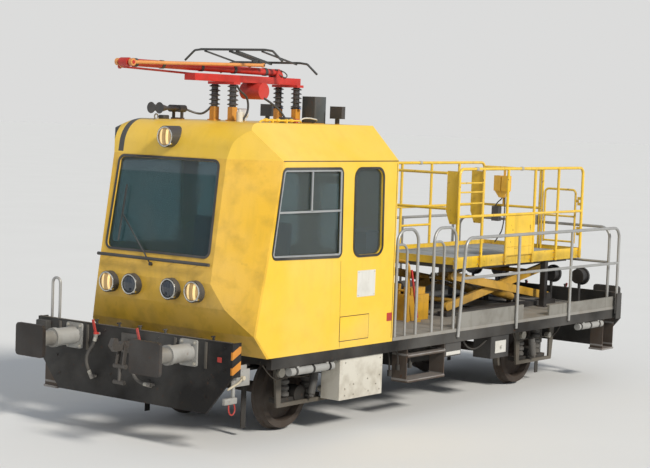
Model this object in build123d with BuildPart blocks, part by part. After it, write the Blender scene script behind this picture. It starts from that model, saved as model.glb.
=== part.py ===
from build123d import *
import os
from math import atan, cos, degrees, pi, radians, sin, tan

# A two-axle track maintenance vehicle with a cab, a folded pantograph and a scissor lift work platform.
# +X is forward (cab end), +Y the left side, +Z up. Zero is at the flanges' lowest points, all in mm.

# Track and wheels
gauge = 1435
flange_height = 30
wheel_radius = 425
wheel_back_spacing = 1360
wheel_width = 135
wheelbase = 5200
axle_radius = 75
journal_radius = 55
axle_z = flange_height + wheel_radius

# Frame
frame_half_length = 4340
frame_top = 1005
deck_thickness = 40
deck_top = frame_top + deck_thickness
deck_half_width = 1420
beam_y = 500
beam_height = 290
beam_width = 190
beam_web = 30
plate_thickness = 30

# End plates
plate_half_width = 1490
plate_top = 1240
plate_side_bottom = 870
plate_bottom = 440
plate_bottom_half_width = 1130
plate_return = 110

# Buffers
buffer_length = 710
buffer_z = 1080
buffer_y = 875
buffer_head_width = 440
buffer_head_height = 364
buffer_head_thickness = 42
buffer_tube_radius = 100
plunger_radius = 86

# Cab
cab_rear = 1320
cab_near = 1420
cab_far = -1070
cab_bottom = frame_top
cab_roof_z = 3575
cab_wall = 50
front_at_sill = 3975
sill_z = 2065
front_slope = 0.153
front_half_width = 860
near_chamfer_z = 3170
far_chamfer_z = 3370
far_chamfer_y = -760
brow_radius = 330

# Scissor lift and work platform
lift_pivot_x = -3700
lift_pivot_z = 1165
arm_length = 2560
arm_rest_angle = 9.5
platform_front = -870
platform_rear = -4220
platform_half_width = 850
platform_floor_top = 1800
platform_floor_thickness = 40
platform_rail_z = 3030
platform_mid_z = 2400
under_rail_z = 1650
frame_bottom_z = 1710
toe_board_top = 1860

# Pantograph
arm_pivot_x = 1950
arm_pivot_z = 4170
knee_x = 4550
head_pivot_x = 2330
head_pivot_z = 4245
rod_pivot_x = 1600
rod_pivot_z = 4056

os.makedirs("parts", exist_ok=True)


def block(low, high, mode=Mode.ADD):
    """A box from one corner to the opposite one."""
    with Locations([tuple((a + b) / 2 for a, b in zip(low, high))]):
        Box(*[abs(b - a) for a, b in zip(low, high)], mode=mode)


def bar(start, end, radius, mode=Mode.ADD):
    """A round bar from one point to another."""
    run = Vector(*end) - Vector(*start)
    with BuildSketch(Plane(origin=start, z_dir=run)) as disc:
        Circle(radius)
    extrude(disc.sketch, amount=run.length, mode=mode)


def beam(start, end, width, height):
    """A square bar from one point to another, its height kept upright."""
    run = Vector(*end) - Vector(*start)
    side = Vector(0, 0, 1).cross(run)
    across = side if side.length > 1 else Vector(0, 1, 0)
    with BuildSketch(Plane(origin=start, x_dir=across, z_dir=run)) as section:
        Rectangle(width, height)
    extrude(section.sketch, amount=run.length)


def tube(points, bend, radius):
    """A round tube along straight runs with equal bends."""
    with BuildLine() as route:
        FilletPolyline(*points, radius=bend)
    with BuildSketch(Plane(origin=route.line @ 0, z_dir=route.line % 0)) as disc:
        Circle(radius)
    sweep(disc.sketch, path=route.line)


def plate(plane, points, thickness, mode=Mode.ADD):
    """A flat plate with a straight-edged outline, grown along the plane's normal."""
    with BuildSketch(plane) as outline:
        with BuildLine():
            Polyline(*points, close=True)
        make_face()
    extrude(outline.sketch, amount=thickness, mode=mode)


def turned(base, way, profile):
    """A solid of revolution about a line, from (distance, radius) pairs."""
    across = (0, 1, 0) if way[1] == 0 else (1, 0, 0)
    with BuildSketch(Plane(origin=base, x_dir=way, z_dir=Vector(*way).cross(Vector(*across)))) as half:
        with BuildLine():
            Polyline((profile[0][0], 0), *profile, (profile[-1][0], 0), close=True)
        make_face()
    revolve(half.sketch, axis=Axis(base, way))


def save(piece, name):
    """Label a finished sub-part and write it."""
    piece.part.label = name
    export_step(piece.part, f"parts/{name}.step")


def side_plane(y):
    """A plane that shows the side view, X to the right and Z up, its normal towards -Y."""
    return Plane(origin=(0, y, 0), x_dir=(1, 0, 0), z_dir=(0, -1, 0))


def end_plane(x):
    """A plane that shows the end view from the front, Y to the right and Z up, its normal towards +X."""
    return Plane(origin=(x, 0, 0), x_dir=(0, 1, 0), z_dir=(1, 0, 0))


# Main frame: two I beams joined by cross beams and framed by side sills.
sill_width = 70
sill_height = 130
sill_y = deck_half_width - sill_width
axle_x = wheelbase / 2
engine_cross_x = 600
guard_cross_gap = 750
end_cross_gap = 190
cross_reach = (engine_cross_x, axle_x - guard_cross_gap, axle_x + guard_cross_gap,
               frame_half_length - end_cross_gap)
cross_xs = [end * x for end in (-1, 1) for x in cross_reach]
cross_height = sill_height
frame_underside = frame_top - cross_height
cross_width = 90
beam_end = frame_half_length - plate_thickness
with BuildPart() as main_frame:
    for side in (1, -1):
        y = side * beam_y
        block((-beam_end, y - beam_web / 2, frame_top - beam_height),
              (beam_end, y + beam_web / 2, frame_top))
        for z in (frame_top - beam_height, frame_top - beam_web):
            block((-beam_end, y - beam_width / 2, z), (beam_end, y + beam_width / 2, z + beam_web))
        low = min(side * sill_y, side * deck_half_width)
        front_end = 3600 if side > 0 else beam_end
        block((-beam_end, low, frame_underside), (front_end, low + sill_width, frame_top))
    for x in cross_xs:
        reach = sill_y + 10 if x < 3600 else beam_y
        block((x - cross_width / 2, -sill_y - 10, frame_underside),
              (x + cross_width / 2, reach, frame_top))
save(main_frame, "main_frame")

# Rail guards: a bracket on each beam's web and a plate hung down to the rail ahead of the outer wheels.
rail_guard_x = axle_x + 650
rail_guard_y = 750
rail_guard_bottom = 95
rail_guard_half_width = 40
rail_guard_thickness = 12
with BuildPart() as rail_guards:
    for end in (1, -1):
        for side in (1, -1):
            x1 = end * rail_guard_x - rail_guard_half_width
            x2 = end * rail_guard_x + rail_guard_half_width
            face = rail_guard_y + 2
            block((x1, side * (beam_y + beam_web / 2), frame_underside - 60),
                  (x2, side * (face + 38), frame_underside))
            block((x1, side * (face - rail_guard_thickness), rail_guard_bottom), (x2, side * face, frame_underside))
save(rail_guards, "rail_guards")

# End plates: a wide plate with cut lower corners, and returns along its upright sides.
plate_outline = [
    (-plate_half_width, plate_side_bottom), (-plate_bottom_half_width, plate_bottom),
    (plate_bottom_half_width, plate_bottom), (plate_half_width, plate_side_bottom),
    (plate_half_width, plate_top), (-plate_half_width, plate_top)]
with BuildPart() as end_plates:
    for end in (1, -1):
        inner = end * beam_end
        plate(end_plane(min(inner, end * frame_half_length)), plate_outline, plate_thickness)
        for side in (1, -1):
            y = side * (plate_half_width - 10)
            low_x, high_x = sorted((inner, inner - end * plate_return))
            block((low_x, y - 10, plate_side_bottom), (high_x, y + 10, plate_top))
save(end_plates, "end_plates")

# Buffers: a bolted base and housing tube, and a plunger with a rectangular head.
buffer_base = 24
housing_end = frame_half_length + 370
head_back = frame_half_length + buffer_length - buffer_head_thickness
with BuildPart() as buffer_housings:
    for end in (1, -1):
        for side in (1, -1):
            base = frame_half_length
            with BuildSketch(Plane(origin=(end * base, side * buffer_y, buffer_z), x_dir=(0, 1, 0),
                                   z_dir=(end, 0, 0))) as base_outline:
                RectangleRounded(250, 290, 25)
            extrude(base_outline.sketch, amount=buffer_base)
            bar((end * base, side * buffer_y, buffer_z), (end * housing_end, side * buffer_y, buffer_z),
                buffer_tube_radius)
            bar((end * (housing_end - 60), side * buffer_y, buffer_z),
                (end * housing_end, side * buffer_y, buffer_z), buffer_tube_radius + 10)
save(buffer_housings, "buffer_housings")

with BuildPart() as buffer_plungers:
    for end in (1, -1):
        for side in (1, -1):
            bar((end * housing_end, side * buffer_y, buffer_z), (end * head_back, side * buffer_y, buffer_z),
                plunger_radius)
            with BuildSketch(Plane(origin=(end * head_back, side * buffer_y, buffer_z), x_dir=(0, 1, 0),
                                   z_dir=(end, 0, 0))) as head_outline:
                RectangleRounded(buffer_head_width, buffer_head_height, 45)
            extrude(head_outline.sketch, amount=buffer_head_thickness)
save(buffer_plungers, "buffer_plungers")

# Draw gear: a hook on a guide plate, and the screw coupling's links hanging from it.
hook_reach = 330
hook_half_thickness = 30
with BuildPart() as draw_gear:
    for end in (1, -1):
        face = frame_half_length
        block((min(end * face, end * (face + 20)), -130, buffer_z - 110),
              (max(end * face, end * (face + 20)), 130, buffer_z + 110))
        with BuildSketch(side_plane(hook_half_thickness)) as hook_outline:
            with BuildLine():
                Polyline((end * face, buffer_z - 35), (end * face, buffer_z + 35),
                         (end * (face + 150), buffer_z + 35), (end * (face + 175), buffer_z + 10),
                         (end * (face + 215), buffer_z + 5), (end * (face + 235), buffer_z + 75),
                         (end * (face + 285), buffer_z + 80), (end * (face + hook_reach), buffer_z),
                         (end * (face + 270), buffer_z - 70), (end * (face + 150), buffer_z - 60),
                         close=True)
            make_face()
        extrude(hook_outline.sketch, amount=2 * hook_half_thickness)
        root_x = end * (frame_half_length + 120)
        for y in (-45, 45):
            side = 1 if y > 0 else -1
            beam((root_x, y, buffer_z), (root_x + end * 40, y + side * 6, buffer_z - 230), 18, 50)
        bar((root_x, -62, buffer_z), (root_x, -hook_half_thickness, buffer_z), 24)
        bar((root_x, hook_half_thickness, buffer_z), (root_x, 62, buffer_z), 24)
        bar((root_x + end * 40, -90, buffer_z - 240), (root_x + end * 40, 90, buffer_z - 240), 26)
        bar((root_x + end * 40, 0, buffer_z - 240), (root_x + end * 50, 0, buffer_z - 420), 20)
        bar((root_x + end * 50, -80, buffer_z - 420), (root_x + end * 50, 80, buffer_z - 420), 24)
save(draw_gear, "draw_gear")

# Wheelsets: an axle with two dished wheels, tread towards the outside and flange inside.
wheel_inner = wheel_back_spacing / 2
wheel_outer = wheel_inner + wheel_width
journal_end = 1020
wheel_section = [
    (wheel_inner, axle_radius), (wheel_inner - 15, axle_radius + 60), (wheel_inner + 45, axle_radius + 75),
    (wheel_inner + 25, 320), (wheel_inner, 345), (wheel_inner, wheel_radius + 14),
    (wheel_inner + 12, wheel_radius + flange_height), (wheel_inner + 24, wheel_radius + flange_height - 4),
    (wheel_inner + 38, wheel_radius + 3), (wheel_outer, wheel_radius - 4), (wheel_outer, 345),
    (wheel_inner + 60, 315), (wheel_inner + 80, axle_radius + 75), (wheel_outer, axle_radius + 60),
    (wheel_outer, axle_radius)]
axle_section = [
    (0, 0), (0, axle_radius - 8), (wheel_inner - 60, axle_radius - 8), (wheel_inner - 40, axle_radius),
    (wheel_outer, axle_radius), (wheel_outer + 25, journal_radius), (journal_end, journal_radius),
    (journal_end, 0)]
wheelset_places = (("wheelset_front", axle_x), ("wheelset_rear", -axle_x))
for name, x in wheelset_places:
    with BuildPart() as wheelset:
        for outline in (wheel_section, axle_section):
            with BuildSketch(Plane(origin=(x, 0, axle_z), x_dir=(0, 1, 0), z_dir=(1, 0, 0))) as half_section:
                with BuildLine():
                    Polyline(*outline, close=True)
                make_face()
            revolve(half_section.sketch, axis=Axis((x, 0, axle_z), (0, 1, 0)))
        mirror(about=Plane.XZ)
    save(wheelset, name)

# Axle boxes: a bored housing round each journal, with spring wings.
box_inner = 880
box_outer = 1045
box_radius = 105
bearing_clearance = 0.3
wing_half_length = 385
wing_top = axle_z - 20
wing_thickness = 50
spring_y = 965
with BuildPart() as axle_boxes:
    for x in (axle_x, -axle_x):
        for side in (1, -1):
            bar((x, side * box_inner, axle_z), (x, side * box_outer, axle_z), box_radius)
            block((x - wing_half_length, side * (spring_y - 65), wing_top - wing_thickness),
                  (x + wing_half_length, side * (spring_y + 65), wing_top))
            bar((x, side * (box_inner - 10), axle_z), (x, side * (journal_end + bearing_clearance), axle_z),
                journal_radius + bearing_clearance, mode=Mode.SUBTRACT)
save(axle_boxes, "axle_boxes")

# Springs and dampers stand on the wings, under the guards' seat beams.
seat_z = 800
spring_offset = 210
spring_radius = 68
coil_count = 5
damper_offset = 335
spring_height = seat_z - wing_top
with BuildPart() as suspension:
    for x in (axle_x, -axle_x):
        for side in (1, -1):
            for shift in (-spring_offset, spring_offset):
                pitch = spring_height / coil_count
                rib_points = [(0, wing_top)]
                for coil in range(coil_count):
                    low = wing_top + coil * pitch
                    rib_points += [(spring_radius - 22, low), (spring_radius, low + pitch * 0.25),
                                   (spring_radius, low + pitch * 0.7)]
                rib_points += [(spring_radius - 22, seat_z), (0, seat_z)]
                place = Plane(origin=(x + shift, side * spring_y, 0), x_dir=(1, 0, 0), z_dir=(0, -1, 0))
                with BuildSketch(place) as spring_section:
                    with BuildLine():
                        Polyline(*rib_points, close=True)
                    make_face()
                revolve(spring_section.sketch, axis=Axis((x + shift, side * spring_y, 0), (0, 0, 1)))
    for x in (axle_x, -axle_x):
        for side in (1, -1):
            foot = (x - damper_offset, side * spring_y, wing_top)
            middle = (x - damper_offset, side * spring_y, wing_top + 150)
            top = (x - damper_offset, side * spring_y, seat_z)
            bar(foot, middle, 24)
            bar(middle, top, 36)
save(suspension, "suspension")

# Axle guards: two tapered legs, a tie bar under the axle box and a seat beam, hung from two brackets.
# A brake shoe hangs from one bracket, against the wheel's tread.
shoe_gap = 12
shoe_thickness = 58
shoe_y = wheel_inner + 85
shoe_width = 70
guard_y = 1060
guard_thickness = 28
leg_inner = 400
leg_top = 925
leg_bottom = 350
with BuildPart() as axle_guards:
    for x in (axle_x, -axle_x):
        for side in (1, -1):
            face = guard_y + guard_thickness if side > 0 else -guard_y
            for end in (1, -1):
                leg = [(x + end * leg_inner, leg_bottom), (x + end * (leg_inner + 70), leg_bottom),
                       (x + end * (leg_inner + 140), leg_top), (x + end * leg_inner, leg_top)]
                plate(side_plane(face), leg, guard_thickness)
                block((x + end * leg_inner, side * (beam_y + beam_width / 2), leg_top),
                      (x + end * (leg_inner + 80), side * sill_y, frame_top))
                block((x + end * leg_inner, side * (spring_y - 55), seat_z),
                      (x + end * (leg_inner + 30), side * (guard_y + 5), leg_top))
            plate(side_plane(face), [(x - leg_inner - 5, leg_bottom), (x + leg_inner + 5, leg_bottom),
                                     (x + leg_inner + 5, leg_bottom + 45),
                                     (x - leg_inner - 5, leg_bottom + 45)], guard_thickness)
            block((x - leg_inner - 5, side * (spring_y - 55), seat_z),
                  (x + leg_inner + 5, side * (guard_y + 5), seat_z + 35))
    for x, inward in ((axle_x, -1), (-axle_x, 1)):
        for side in (1, -1):
            place = Plane(origin=(x, side * shoe_y + shoe_width / 2, axle_z), x_dir=(inward, 0, 0),
                          z_dir=(0, -1, 0))
            with BuildSketch(place) as shoe:
                Circle(wheel_radius + shoe_gap + shoe_thickness)
                Circle(wheel_radius + shoe_gap, mode=Mode.SUBTRACT)
                with Locations((wheel_radius + 100, 0)):
                    Rectangle(320, 300, mode=Mode.INTERSECT)
            extrude(shoe.sketch, amount=shoe_width)
            hanger_x = x + inward * (wheel_radius + 50)
            block((hanger_x - 12, side * (shoe_y - 20), axle_z), (hanger_x + 12, side * (shoe_y + 20), leg_top))
save(axle_guards, "axle_guards")

# Under the frame: the engine, the boxes and the tank, each (node, low corner, high corner).
boxes = (
    ("engine_block", (-1500, -360, 430), (-250, 360, frame_underside)),
    ("equipment_box", (1465, 1120, 390), (2310, 1400, frame_underside)))
small_boxes = (
    ((-1400, -1400, 450), (60, -900, frame_underside)),
    ((-1400, 1120, 575), (-960, 1400, frame_underside)),
    ((-240, 1120, 700), (120, 1400, frame_underside)))
box_rounding = 12
for name, low, high in boxes:
    with BuildPart() as under_box:
        block(low, high)
        fillet(under_box.edges().filter_by(Axis.Z), radius=box_rounding)
    save(under_box, name)

# Air reservoirs hang beside the boxes: horizontal cylinders with straps, each (x1, x2, y, z, radius).
reservoirs = ((2450, 3250, 1385, 817, 48), (-3940, -3250, 1385, 817, 48), (-3940, -3200, -1330, 775, 90))
with BuildPart() as boxes_and_reservoirs:
    for low, high in small_boxes:
        block(low, high)
    fillet(boxes_and_reservoirs.edges().filter_by(Axis.Z), radius=box_rounding)
    for x1, x2, y, z, radius in reservoirs:
        bar((x1, y, z), (x2, y, z), radius)
        for x in (x1 + 130, x2 - 130):
            block((x - 20, y - radius * 0.7, z), (x + 20, y + radius * 0.7, frame_underside))
save(boxes_and_reservoirs, "boxes_and_reservoirs")

# Access steps below the landing, two treads between hangers, and shunter's steps at three corners.
step_corners = ((1, -1), (-1, 1), (-1, -1))
step_x1 = 140
step_x2 = 960
step_treads = (490, 800)
with BuildPart() as steps:
    for side in (1, -1):
        for x in (step_x1, step_x2):
            block((x - 6, side * 1180, step_treads[0] - 30), (x + 6, side * 1400, frame_underside))
        for z in step_treads:
            block((step_x1, side * 1190, z - 30), (step_x2, side * 1415, z))
    for end, side in step_corners:
        for x in (end * (beam_end - 20), end * (beam_end - 320)):
            block((x - 6, side * 1200, 445), (x + 6, side * 1400, frame_underside))
        block((end * (beam_end - 340), side * 1190, 420), (end * (beam_end - 2), side * 1410, 445))
save(steps, "steps")

# Deck: the load floor with the landing behind the cab, and the walkway along the cab's right side.
deck_front = cab_rear - 10
with BuildPart() as deck_floor:
    block((-beam_end, -deck_half_width, frame_top), (deck_front, deck_half_width, deck_top))
    block((deck_front - 10, -deck_half_width, frame_top), (beam_end, cab_far - 10, deck_top))
save(deck_floor, "deck_floor")

# Side boards along the deck's edges, each (x1, x2, top).
board_thickness = 30
boards = ((-1720, -120, 1240), (-4260, -2400, 1186))
with BuildPart() as side_boards:
    for x1, x2, top in boards:
        for side in (1, -1):
            block((x1, side * (deck_half_width - 5 - board_thickness), deck_top),
                  (x2, side * (deck_half_width - 5), top))
save(side_boards, "side_boards")

# Deck railings: bent tubes outside the sills, with posts and a middle rail, and one across the rear.
rail_radius = 21
rail_top_z = 2190
rail_mid_z = 1680
rail_y = deck_half_width + rail_radius
rail_foot_z = 940
rail_front = -90
rail_rear = -4270
post_xs = (-1500, -2900)
rear_rail_x = -4245
rear_rail_y = 1300
with BuildPart() as deck_railings:
    for y in (rail_y, -rail_y):
        tube([(rail_front, y, rail_foot_z), (rail_front - 120, y, rail_top_z), (rail_rear, y, rail_top_z),
              (rail_rear, y, rail_foot_z)], 150, rail_radius)
        bar((rail_front - 70, y, rail_mid_z), (rail_rear, y, rail_mid_z), rail_radius - 2)
        for x in post_xs:
            bar((x, y, rail_foot_z), (x, y, rail_top_z), rail_radius - 1)
    tube([(rear_rail_x, rear_rail_y, deck_top), (rear_rail_x, rear_rail_y, rail_top_z),
          (rear_rail_x, -rear_rail_y, rail_top_z), (rear_rail_x, -rear_rail_y, deck_top)], 150, rail_radius)
    bar((rear_rail_x, rear_rail_y, rail_mid_z), (rear_rail_x, -rear_rail_y, rail_mid_z), rail_radius - 2)
save(deck_railings, "deck_railings")

# Handrail loops beside the landing, each (x of the tall legs, inner leg, tops of both), and one loop at
# the walkway's front end.
walkway_rail_x = frame_half_length - 130
handrail_radius = 19
loops = ((1250, 810, 1040, 2340, 2160), (460, -30, 230, 2335, 2165))
with BuildPart() as handrail_loops:
    for x1, x2, x3, top, inner_top in loops:
        for side in (1, -1):
            y = side * (deck_half_width - handrail_radius - 1)
            tube([(x1, y, deck_top), (x1, y, top), (x2, y, top), (x2, y, deck_top)], 170, handrail_radius)
            tube([(x1, y, inner_top), (x3, y, inner_top), (x3, y, deck_top)], 110, handrail_radius - 3)
    tube([(walkway_rail_x, -1400, deck_top), (walkway_rail_x, -1400, 1690), (walkway_rail_x, -1275, 1690),
          (walkway_rail_x, -1275, deck_top)], 60, 16)
save(handrail_loops, "handrail_loops")

# Rear lamps: round lamps on stands at the deck's rear edge.
lamp_z = 1450
lamp_radius = 130
lamp_stand_x = -4090
rear_lamp_ys = (-920, -450, 450, 920)
with BuildPart() as rear_lamps:
    for y in rear_lamp_ys:
        bar((lamp_stand_x + 70, y, lamp_z), (lamp_stand_x - 60, y, lamp_z), lamp_radius - 25)
        bar((lamp_stand_x - 40, y, lamp_z), (lamp_stand_x - 75, y, lamp_z), lamp_radius)
        bar((lamp_stand_x, y, deck_top), (lamp_stand_x, y, lamp_z), 22)
save(rear_lamps, "rear_lamps")


def front_x(z):
    """The windscreen plane's X at a height."""
    return front_at_sill - front_slope * (z - sill_z)


def near_fold_x(z):
    """Where the left side wall folds into the slanted corner panel."""
    return 3918 + (1266 - z) * 0.217


def far_fold_x(z):
    """Where the right side wall folds into its narrow corner panel."""
    return front_x(z) - far_corner_depth


# Cab shell: a plan that tapers in straight lines up to the roof panel and then runs straight up, within
# the side view's outline and the end view's roof slopes. Its lower front is undercut behind the end plate.
front_lean = degrees(atan(front_slope))
far_corner_depth = 230
bend_start = 1800
roof_split = near_chamfer_z


def cab_solid(inset):
    """The cab's outer form, or its inside when inset by the wall thickness."""
    with BuildPart() as form:
        for z in (cab_bottom - 20, roof_split):
            with BuildSketch(Plane.XY.offset(z)) as plan:
                with BuildLine():
                    Polyline((cab_rear, cab_near), (near_fold_x(z), cab_near), (front_x(z), front_half_width),
                             (front_x(z), -front_half_width), (far_fold_x(z), cab_far),
                             (cab_rear, cab_far), close=True)
                make_face()
                if inset:
                    offset(amount=-inset, kind=Kind.INTERSECTION)
        loft(ruled=True)
        extrude(plan.sketch, amount=cab_roof_z + 20 - roof_split)
        brow_start = cab_roof_z - brow_radius * (1 - sin(radians(front_lean)))
        with BuildSketch(side_plane(cab_near + 50)) as side_view:
            with BuildLine():
                low = Polyline((cab_rear, cab_roof_z), (cab_rear, cab_bottom), (3684, cab_bottom),
                               (3918, 1266), (3988, 1530), (front_x(bend_start), bend_start),
                               (front_x(brow_start), brow_start))
                brow = JernArc(low @ 1, low % 1, brow_radius, 90 - front_lean)
                Line(brow @ 1, low @ 0)
            make_face()
            if inset:
                offset(amount=-inset, kind=Kind.INTERSECTION)
        extrude(side_view.sketch, amount=cab_near - cab_far + 100, mode=Mode.INTERSECT)
        with BuildSketch(end_plane(cab_rear - 50)) as end_view:
            with BuildLine():
                Polyline((cab_near, cab_bottom), (cab_near, near_chamfer_z),
                         (cab_near - (cab_roof_z - near_chamfer_z), cab_roof_z), (far_chamfer_y, cab_roof_z),
                         (cab_far, far_chamfer_z), (cab_far, cab_bottom), close=True)
            make_face()
            if inset:
                offset(amount=-inset, kind=Kind.INTERSECTION)
        extrude(end_view.sketch, amount=4000, mode=Mode.INTERSECT)
    return form.part


cab_outer = cab_solid(0)
with BuildPart() as cab_shell:
    add(cab_outer)
    add(cab_solid(cab_wall), mode=Mode.SUBTRACT)
seam_margin = 36
roof_strip = 25
seam_bottom_x = 3640
floor_front = 3600
inner_near = cab_near - cab_wall
inner_far = cab_far + cab_wall
rear_inside = cab_rear + cab_wall
floor_top = cab_bottom + cab_wall

# Windows, each (lower rear, lower front, upper front, upper rear) corners in the side view and a rounding.
window_1 = ((2386, 2060), (3670, 2085), (3505, 3100), (2410, 3100))
window_2 = ((1578, 2050), (2175, 2050), (2195, 3100), (1604, 3100))
windows = ((window_1, 80), (window_2, 130))
windscreen_top = 3158
windscreen_bottom = 2065
windscreen_half_top = 772
windscreen_half_bottom = 806
seal_width = 28
screen_plane = Plane(origin=(front_at_sill, 0, sill_z), x_dir=(0, 1, 0), z_dir=(1, 0, front_slope))
screen_height = (windscreen_top - windscreen_bottom) / cos(radians(front_lean))


def window_sketch(plane, corners, rounding, inset, mode=Mode.REPLACE):
    """A rounded window outline drawn inward by the inset, or the ring between both when mode subtracts."""
    with BuildSketch(plane) as outline:
        with BuildLine():
            Polyline(*corners, close=True)
        make_face()
        fillet(outline.vertices(), radius=rounding)
        if inset:
            offset(amount=-inset, mode=mode)
    return outline.sketch


def off_screen(y, z, distance):
    """A point at a distance in front of the windscreen's plane."""
    tilt = radians(front_lean)
    return (front_x(z) + distance * cos(tilt), y, z + distance * sin(tilt))


screen_corners = ((-windscreen_half_bottom, 0), (windscreen_half_bottom, 0),
                  (windscreen_half_top, screen_height), (-windscreen_half_top, screen_height))
screen_rounding = 90

# Rear door opening and the rear window beside it, in the end view.
door_y1 = 150
door_y2 = 850
door_bottom = floor_top
door_top = 2960
door_gap = 6
hinge_x = cab_rear - 14
hinge_y = door_y2 + 4
hinge_zs = (1300, 2600)
knuckle_height = 36
hinge_pin = 5
hinge_clearance = 0.3
rear_window = ((-850, 2050), (-50, 2050), (-50, 2950), (-850, 2950))

left_seam = [(rear_inside, cab_bottom), (seam_bottom_x, cab_bottom), (near_fold_x(1266) - seam_margin, 1266),
             (near_fold_x(roof_split) - seam_margin, roof_split), (rear_inside, roof_split)]
right_seam = [(rear_inside, cab_bottom), (seam_bottom_x, cab_bottom), (far_fold_x(1266) - seam_margin, 1266),
              (far_fold_x(roof_split) - seam_margin, roof_split), (rear_inside, roof_split)]
with BuildPart() as cab_floor:
    add(cab_shell.part)
    block((rear_inside, inner_far, cab_bottom), (floor_front, inner_near, floor_top), mode=Mode.INTERSECT)
save(cab_floor, "cab_floor")

side_walls = (("cab_side_left", cab_near, left_seam), ("cab_side_right", inner_far, right_seam))
for name, high, seam in side_walls:
    with BuildPart() as cab_side:
        add(cab_shell.part)
        plate(side_plane(high), seam, cab_wall, mode=Mode.INTERSECT)
        for corners, rounding in windows:
            hole = window_sketch(side_plane(high + 10), corners, rounding, seal_width)
            extrude(hole, amount=cab_wall + 20, mode=Mode.SUBTRACT)
    save(cab_side, name)

with BuildPart() as cab_front:
    add(cab_shell.part)
    block((rear_inside, cab_far - 10, cab_bottom), (4400, cab_near + 10, roof_split), mode=Mode.INTERSECT)
    block((rear_inside, inner_far, cab_bottom), (floor_front, inner_near, floor_top), mode=Mode.SUBTRACT)
    plate(side_plane(cab_near), left_seam, cab_wall, mode=Mode.SUBTRACT)
    plate(side_plane(inner_far), right_seam, cab_wall, mode=Mode.SUBTRACT)
    block((rear_inside, inner_near - roof_strip, roof_split - 3 * roof_strip),
          (near_fold_x(roof_split) - seam_margin, cab_near, roof_split), mode=Mode.SUBTRACT)
    screen_hole = window_sketch(screen_plane.offset(-150), screen_corners, screen_rounding, seal_width)
    extrude(screen_hole, amount=300, mode=Mode.SUBTRACT)
save(cab_front, "cab_front")

with BuildPart() as cab_roof:
    add(cab_shell.part)
    block((rear_inside, cab_far - 10, roof_split), (4400, cab_near + 10, cab_roof_z + 10),
          mode=Mode.INTERSECT)
save(cab_roof, "cab_roof")

with BuildPart() as cab_rear_wall:
    add(cab_shell.part)
    block((cab_rear - 10, cab_far - 10, cab_bottom - 10), (rear_inside, cab_near + 10, cab_roof_z + 10),
          mode=Mode.INTERSECT)
    block((cab_rear - 10, door_y1, door_bottom), (rear_inside + 10, door_y2, door_top), mode=Mode.SUBTRACT)
    extrude(window_sketch(end_plane(cab_rear - 10), rear_window, 90, 0), amount=cab_wall + 20,
            mode=Mode.SUBTRACT)
    for z in hinge_zs:
        bar((hinge_x, hinge_y, z - knuckle_height), (hinge_x, hinge_y, z + 110 + knuckle_height), hinge_pin)
        for knuckle_z in (z - 2 - knuckle_height, z + 110 + 2):
            bar((hinge_x, hinge_y, knuckle_z), (hinge_x, hinge_y, knuckle_z + knuckle_height), 11)
            block((hinge_x - 3, hinge_y, knuckle_z), (cab_rear, hinge_y + 9, knuckle_z + knuckle_height))
save(cab_rear_wall, "cab_rear_wall")

# Rear door: a leaf in its opening, hinged on its left edge, with a window and handles.
leaf_thickness = cab_wall - 4
door_window = ((270, 2050), (730, 2050), (730, 2850), (270, 2850))
with BuildPart() as cab_door:
    block((cab_rear + 2, door_y1 + door_gap, door_bottom + door_gap),
          (cab_rear + 2 + leaf_thickness, door_y2 - door_gap, door_top - door_gap))
    extrude(window_sketch(end_plane(cab_rear - 10), door_window, 60, 0), amount=cab_wall + 20,
            mode=Mode.SUBTRACT)
    for z in hinge_zs:
        bar((hinge_x, hinge_y, z), (hinge_x, hinge_y, z + 110), 11)
        block((hinge_x - 3, door_y2 - 60, z), (cab_rear + 10, door_y2 - 40, z + 110))
        block((hinge_x - 3, door_y2 - 60, z), (hinge_x + 3, hinge_y, z + 110))
        bar((hinge_x, hinge_y, z - 10), (hinge_x, hinge_y, z + 120), hinge_pin + hinge_clearance,
            mode=Mode.SUBTRACT)
    block((cab_rear - 30, 205, 1950), (cab_rear + 10, 225, 1970))
    block((cab_rear - 42, 205, 1945), (cab_rear - 28, 320, 1975))
save(cab_door, "cab_door")

# Glass: each pane lies in the middle of its wall.
glass_thickness = 8
glass_depth = cab_wall / 2
with BuildPart() as cab_glass:
    pane = window_sketch(screen_plane.offset(-glass_depth), screen_corners, screen_rounding, seal_width)
    extrude(pane, amount=glass_thickness)
    for y in (cab_near - glass_depth, cab_far + glass_depth):
        for corners, rounding in windows:
            extrude(window_sketch(side_plane(y), corners, rounding, seal_width), amount=glass_thickness)
    extrude(window_sketch(end_plane(cab_rear + glass_depth), rear_window, 90, 0), amount=glass_thickness)
save(cab_glass, "cab_glass")

with BuildPart() as door_glass:
    extrude(window_sketch(end_plane(cab_rear + glass_depth), door_window, 60, 0), amount=glass_thickness)
save(door_glass, "door_glass")

# Seals and frames round the windows, standing proud of the walls.
seal_proud = 8
with BuildPart() as window_seals:
    extrude(window_sketch(screen_plane, screen_corners, screen_rounding, seal_width, Mode.SUBTRACT),
            amount=seal_proud)
    for y in (cab_near + seal_proud, cab_far):
        for corners, rounding in windows:
            extrude(window_sketch(side_plane(y), corners, rounding, seal_width, Mode.SUBTRACT),
                    amount=seal_proud)
save(window_seals, "window_seals")

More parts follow.
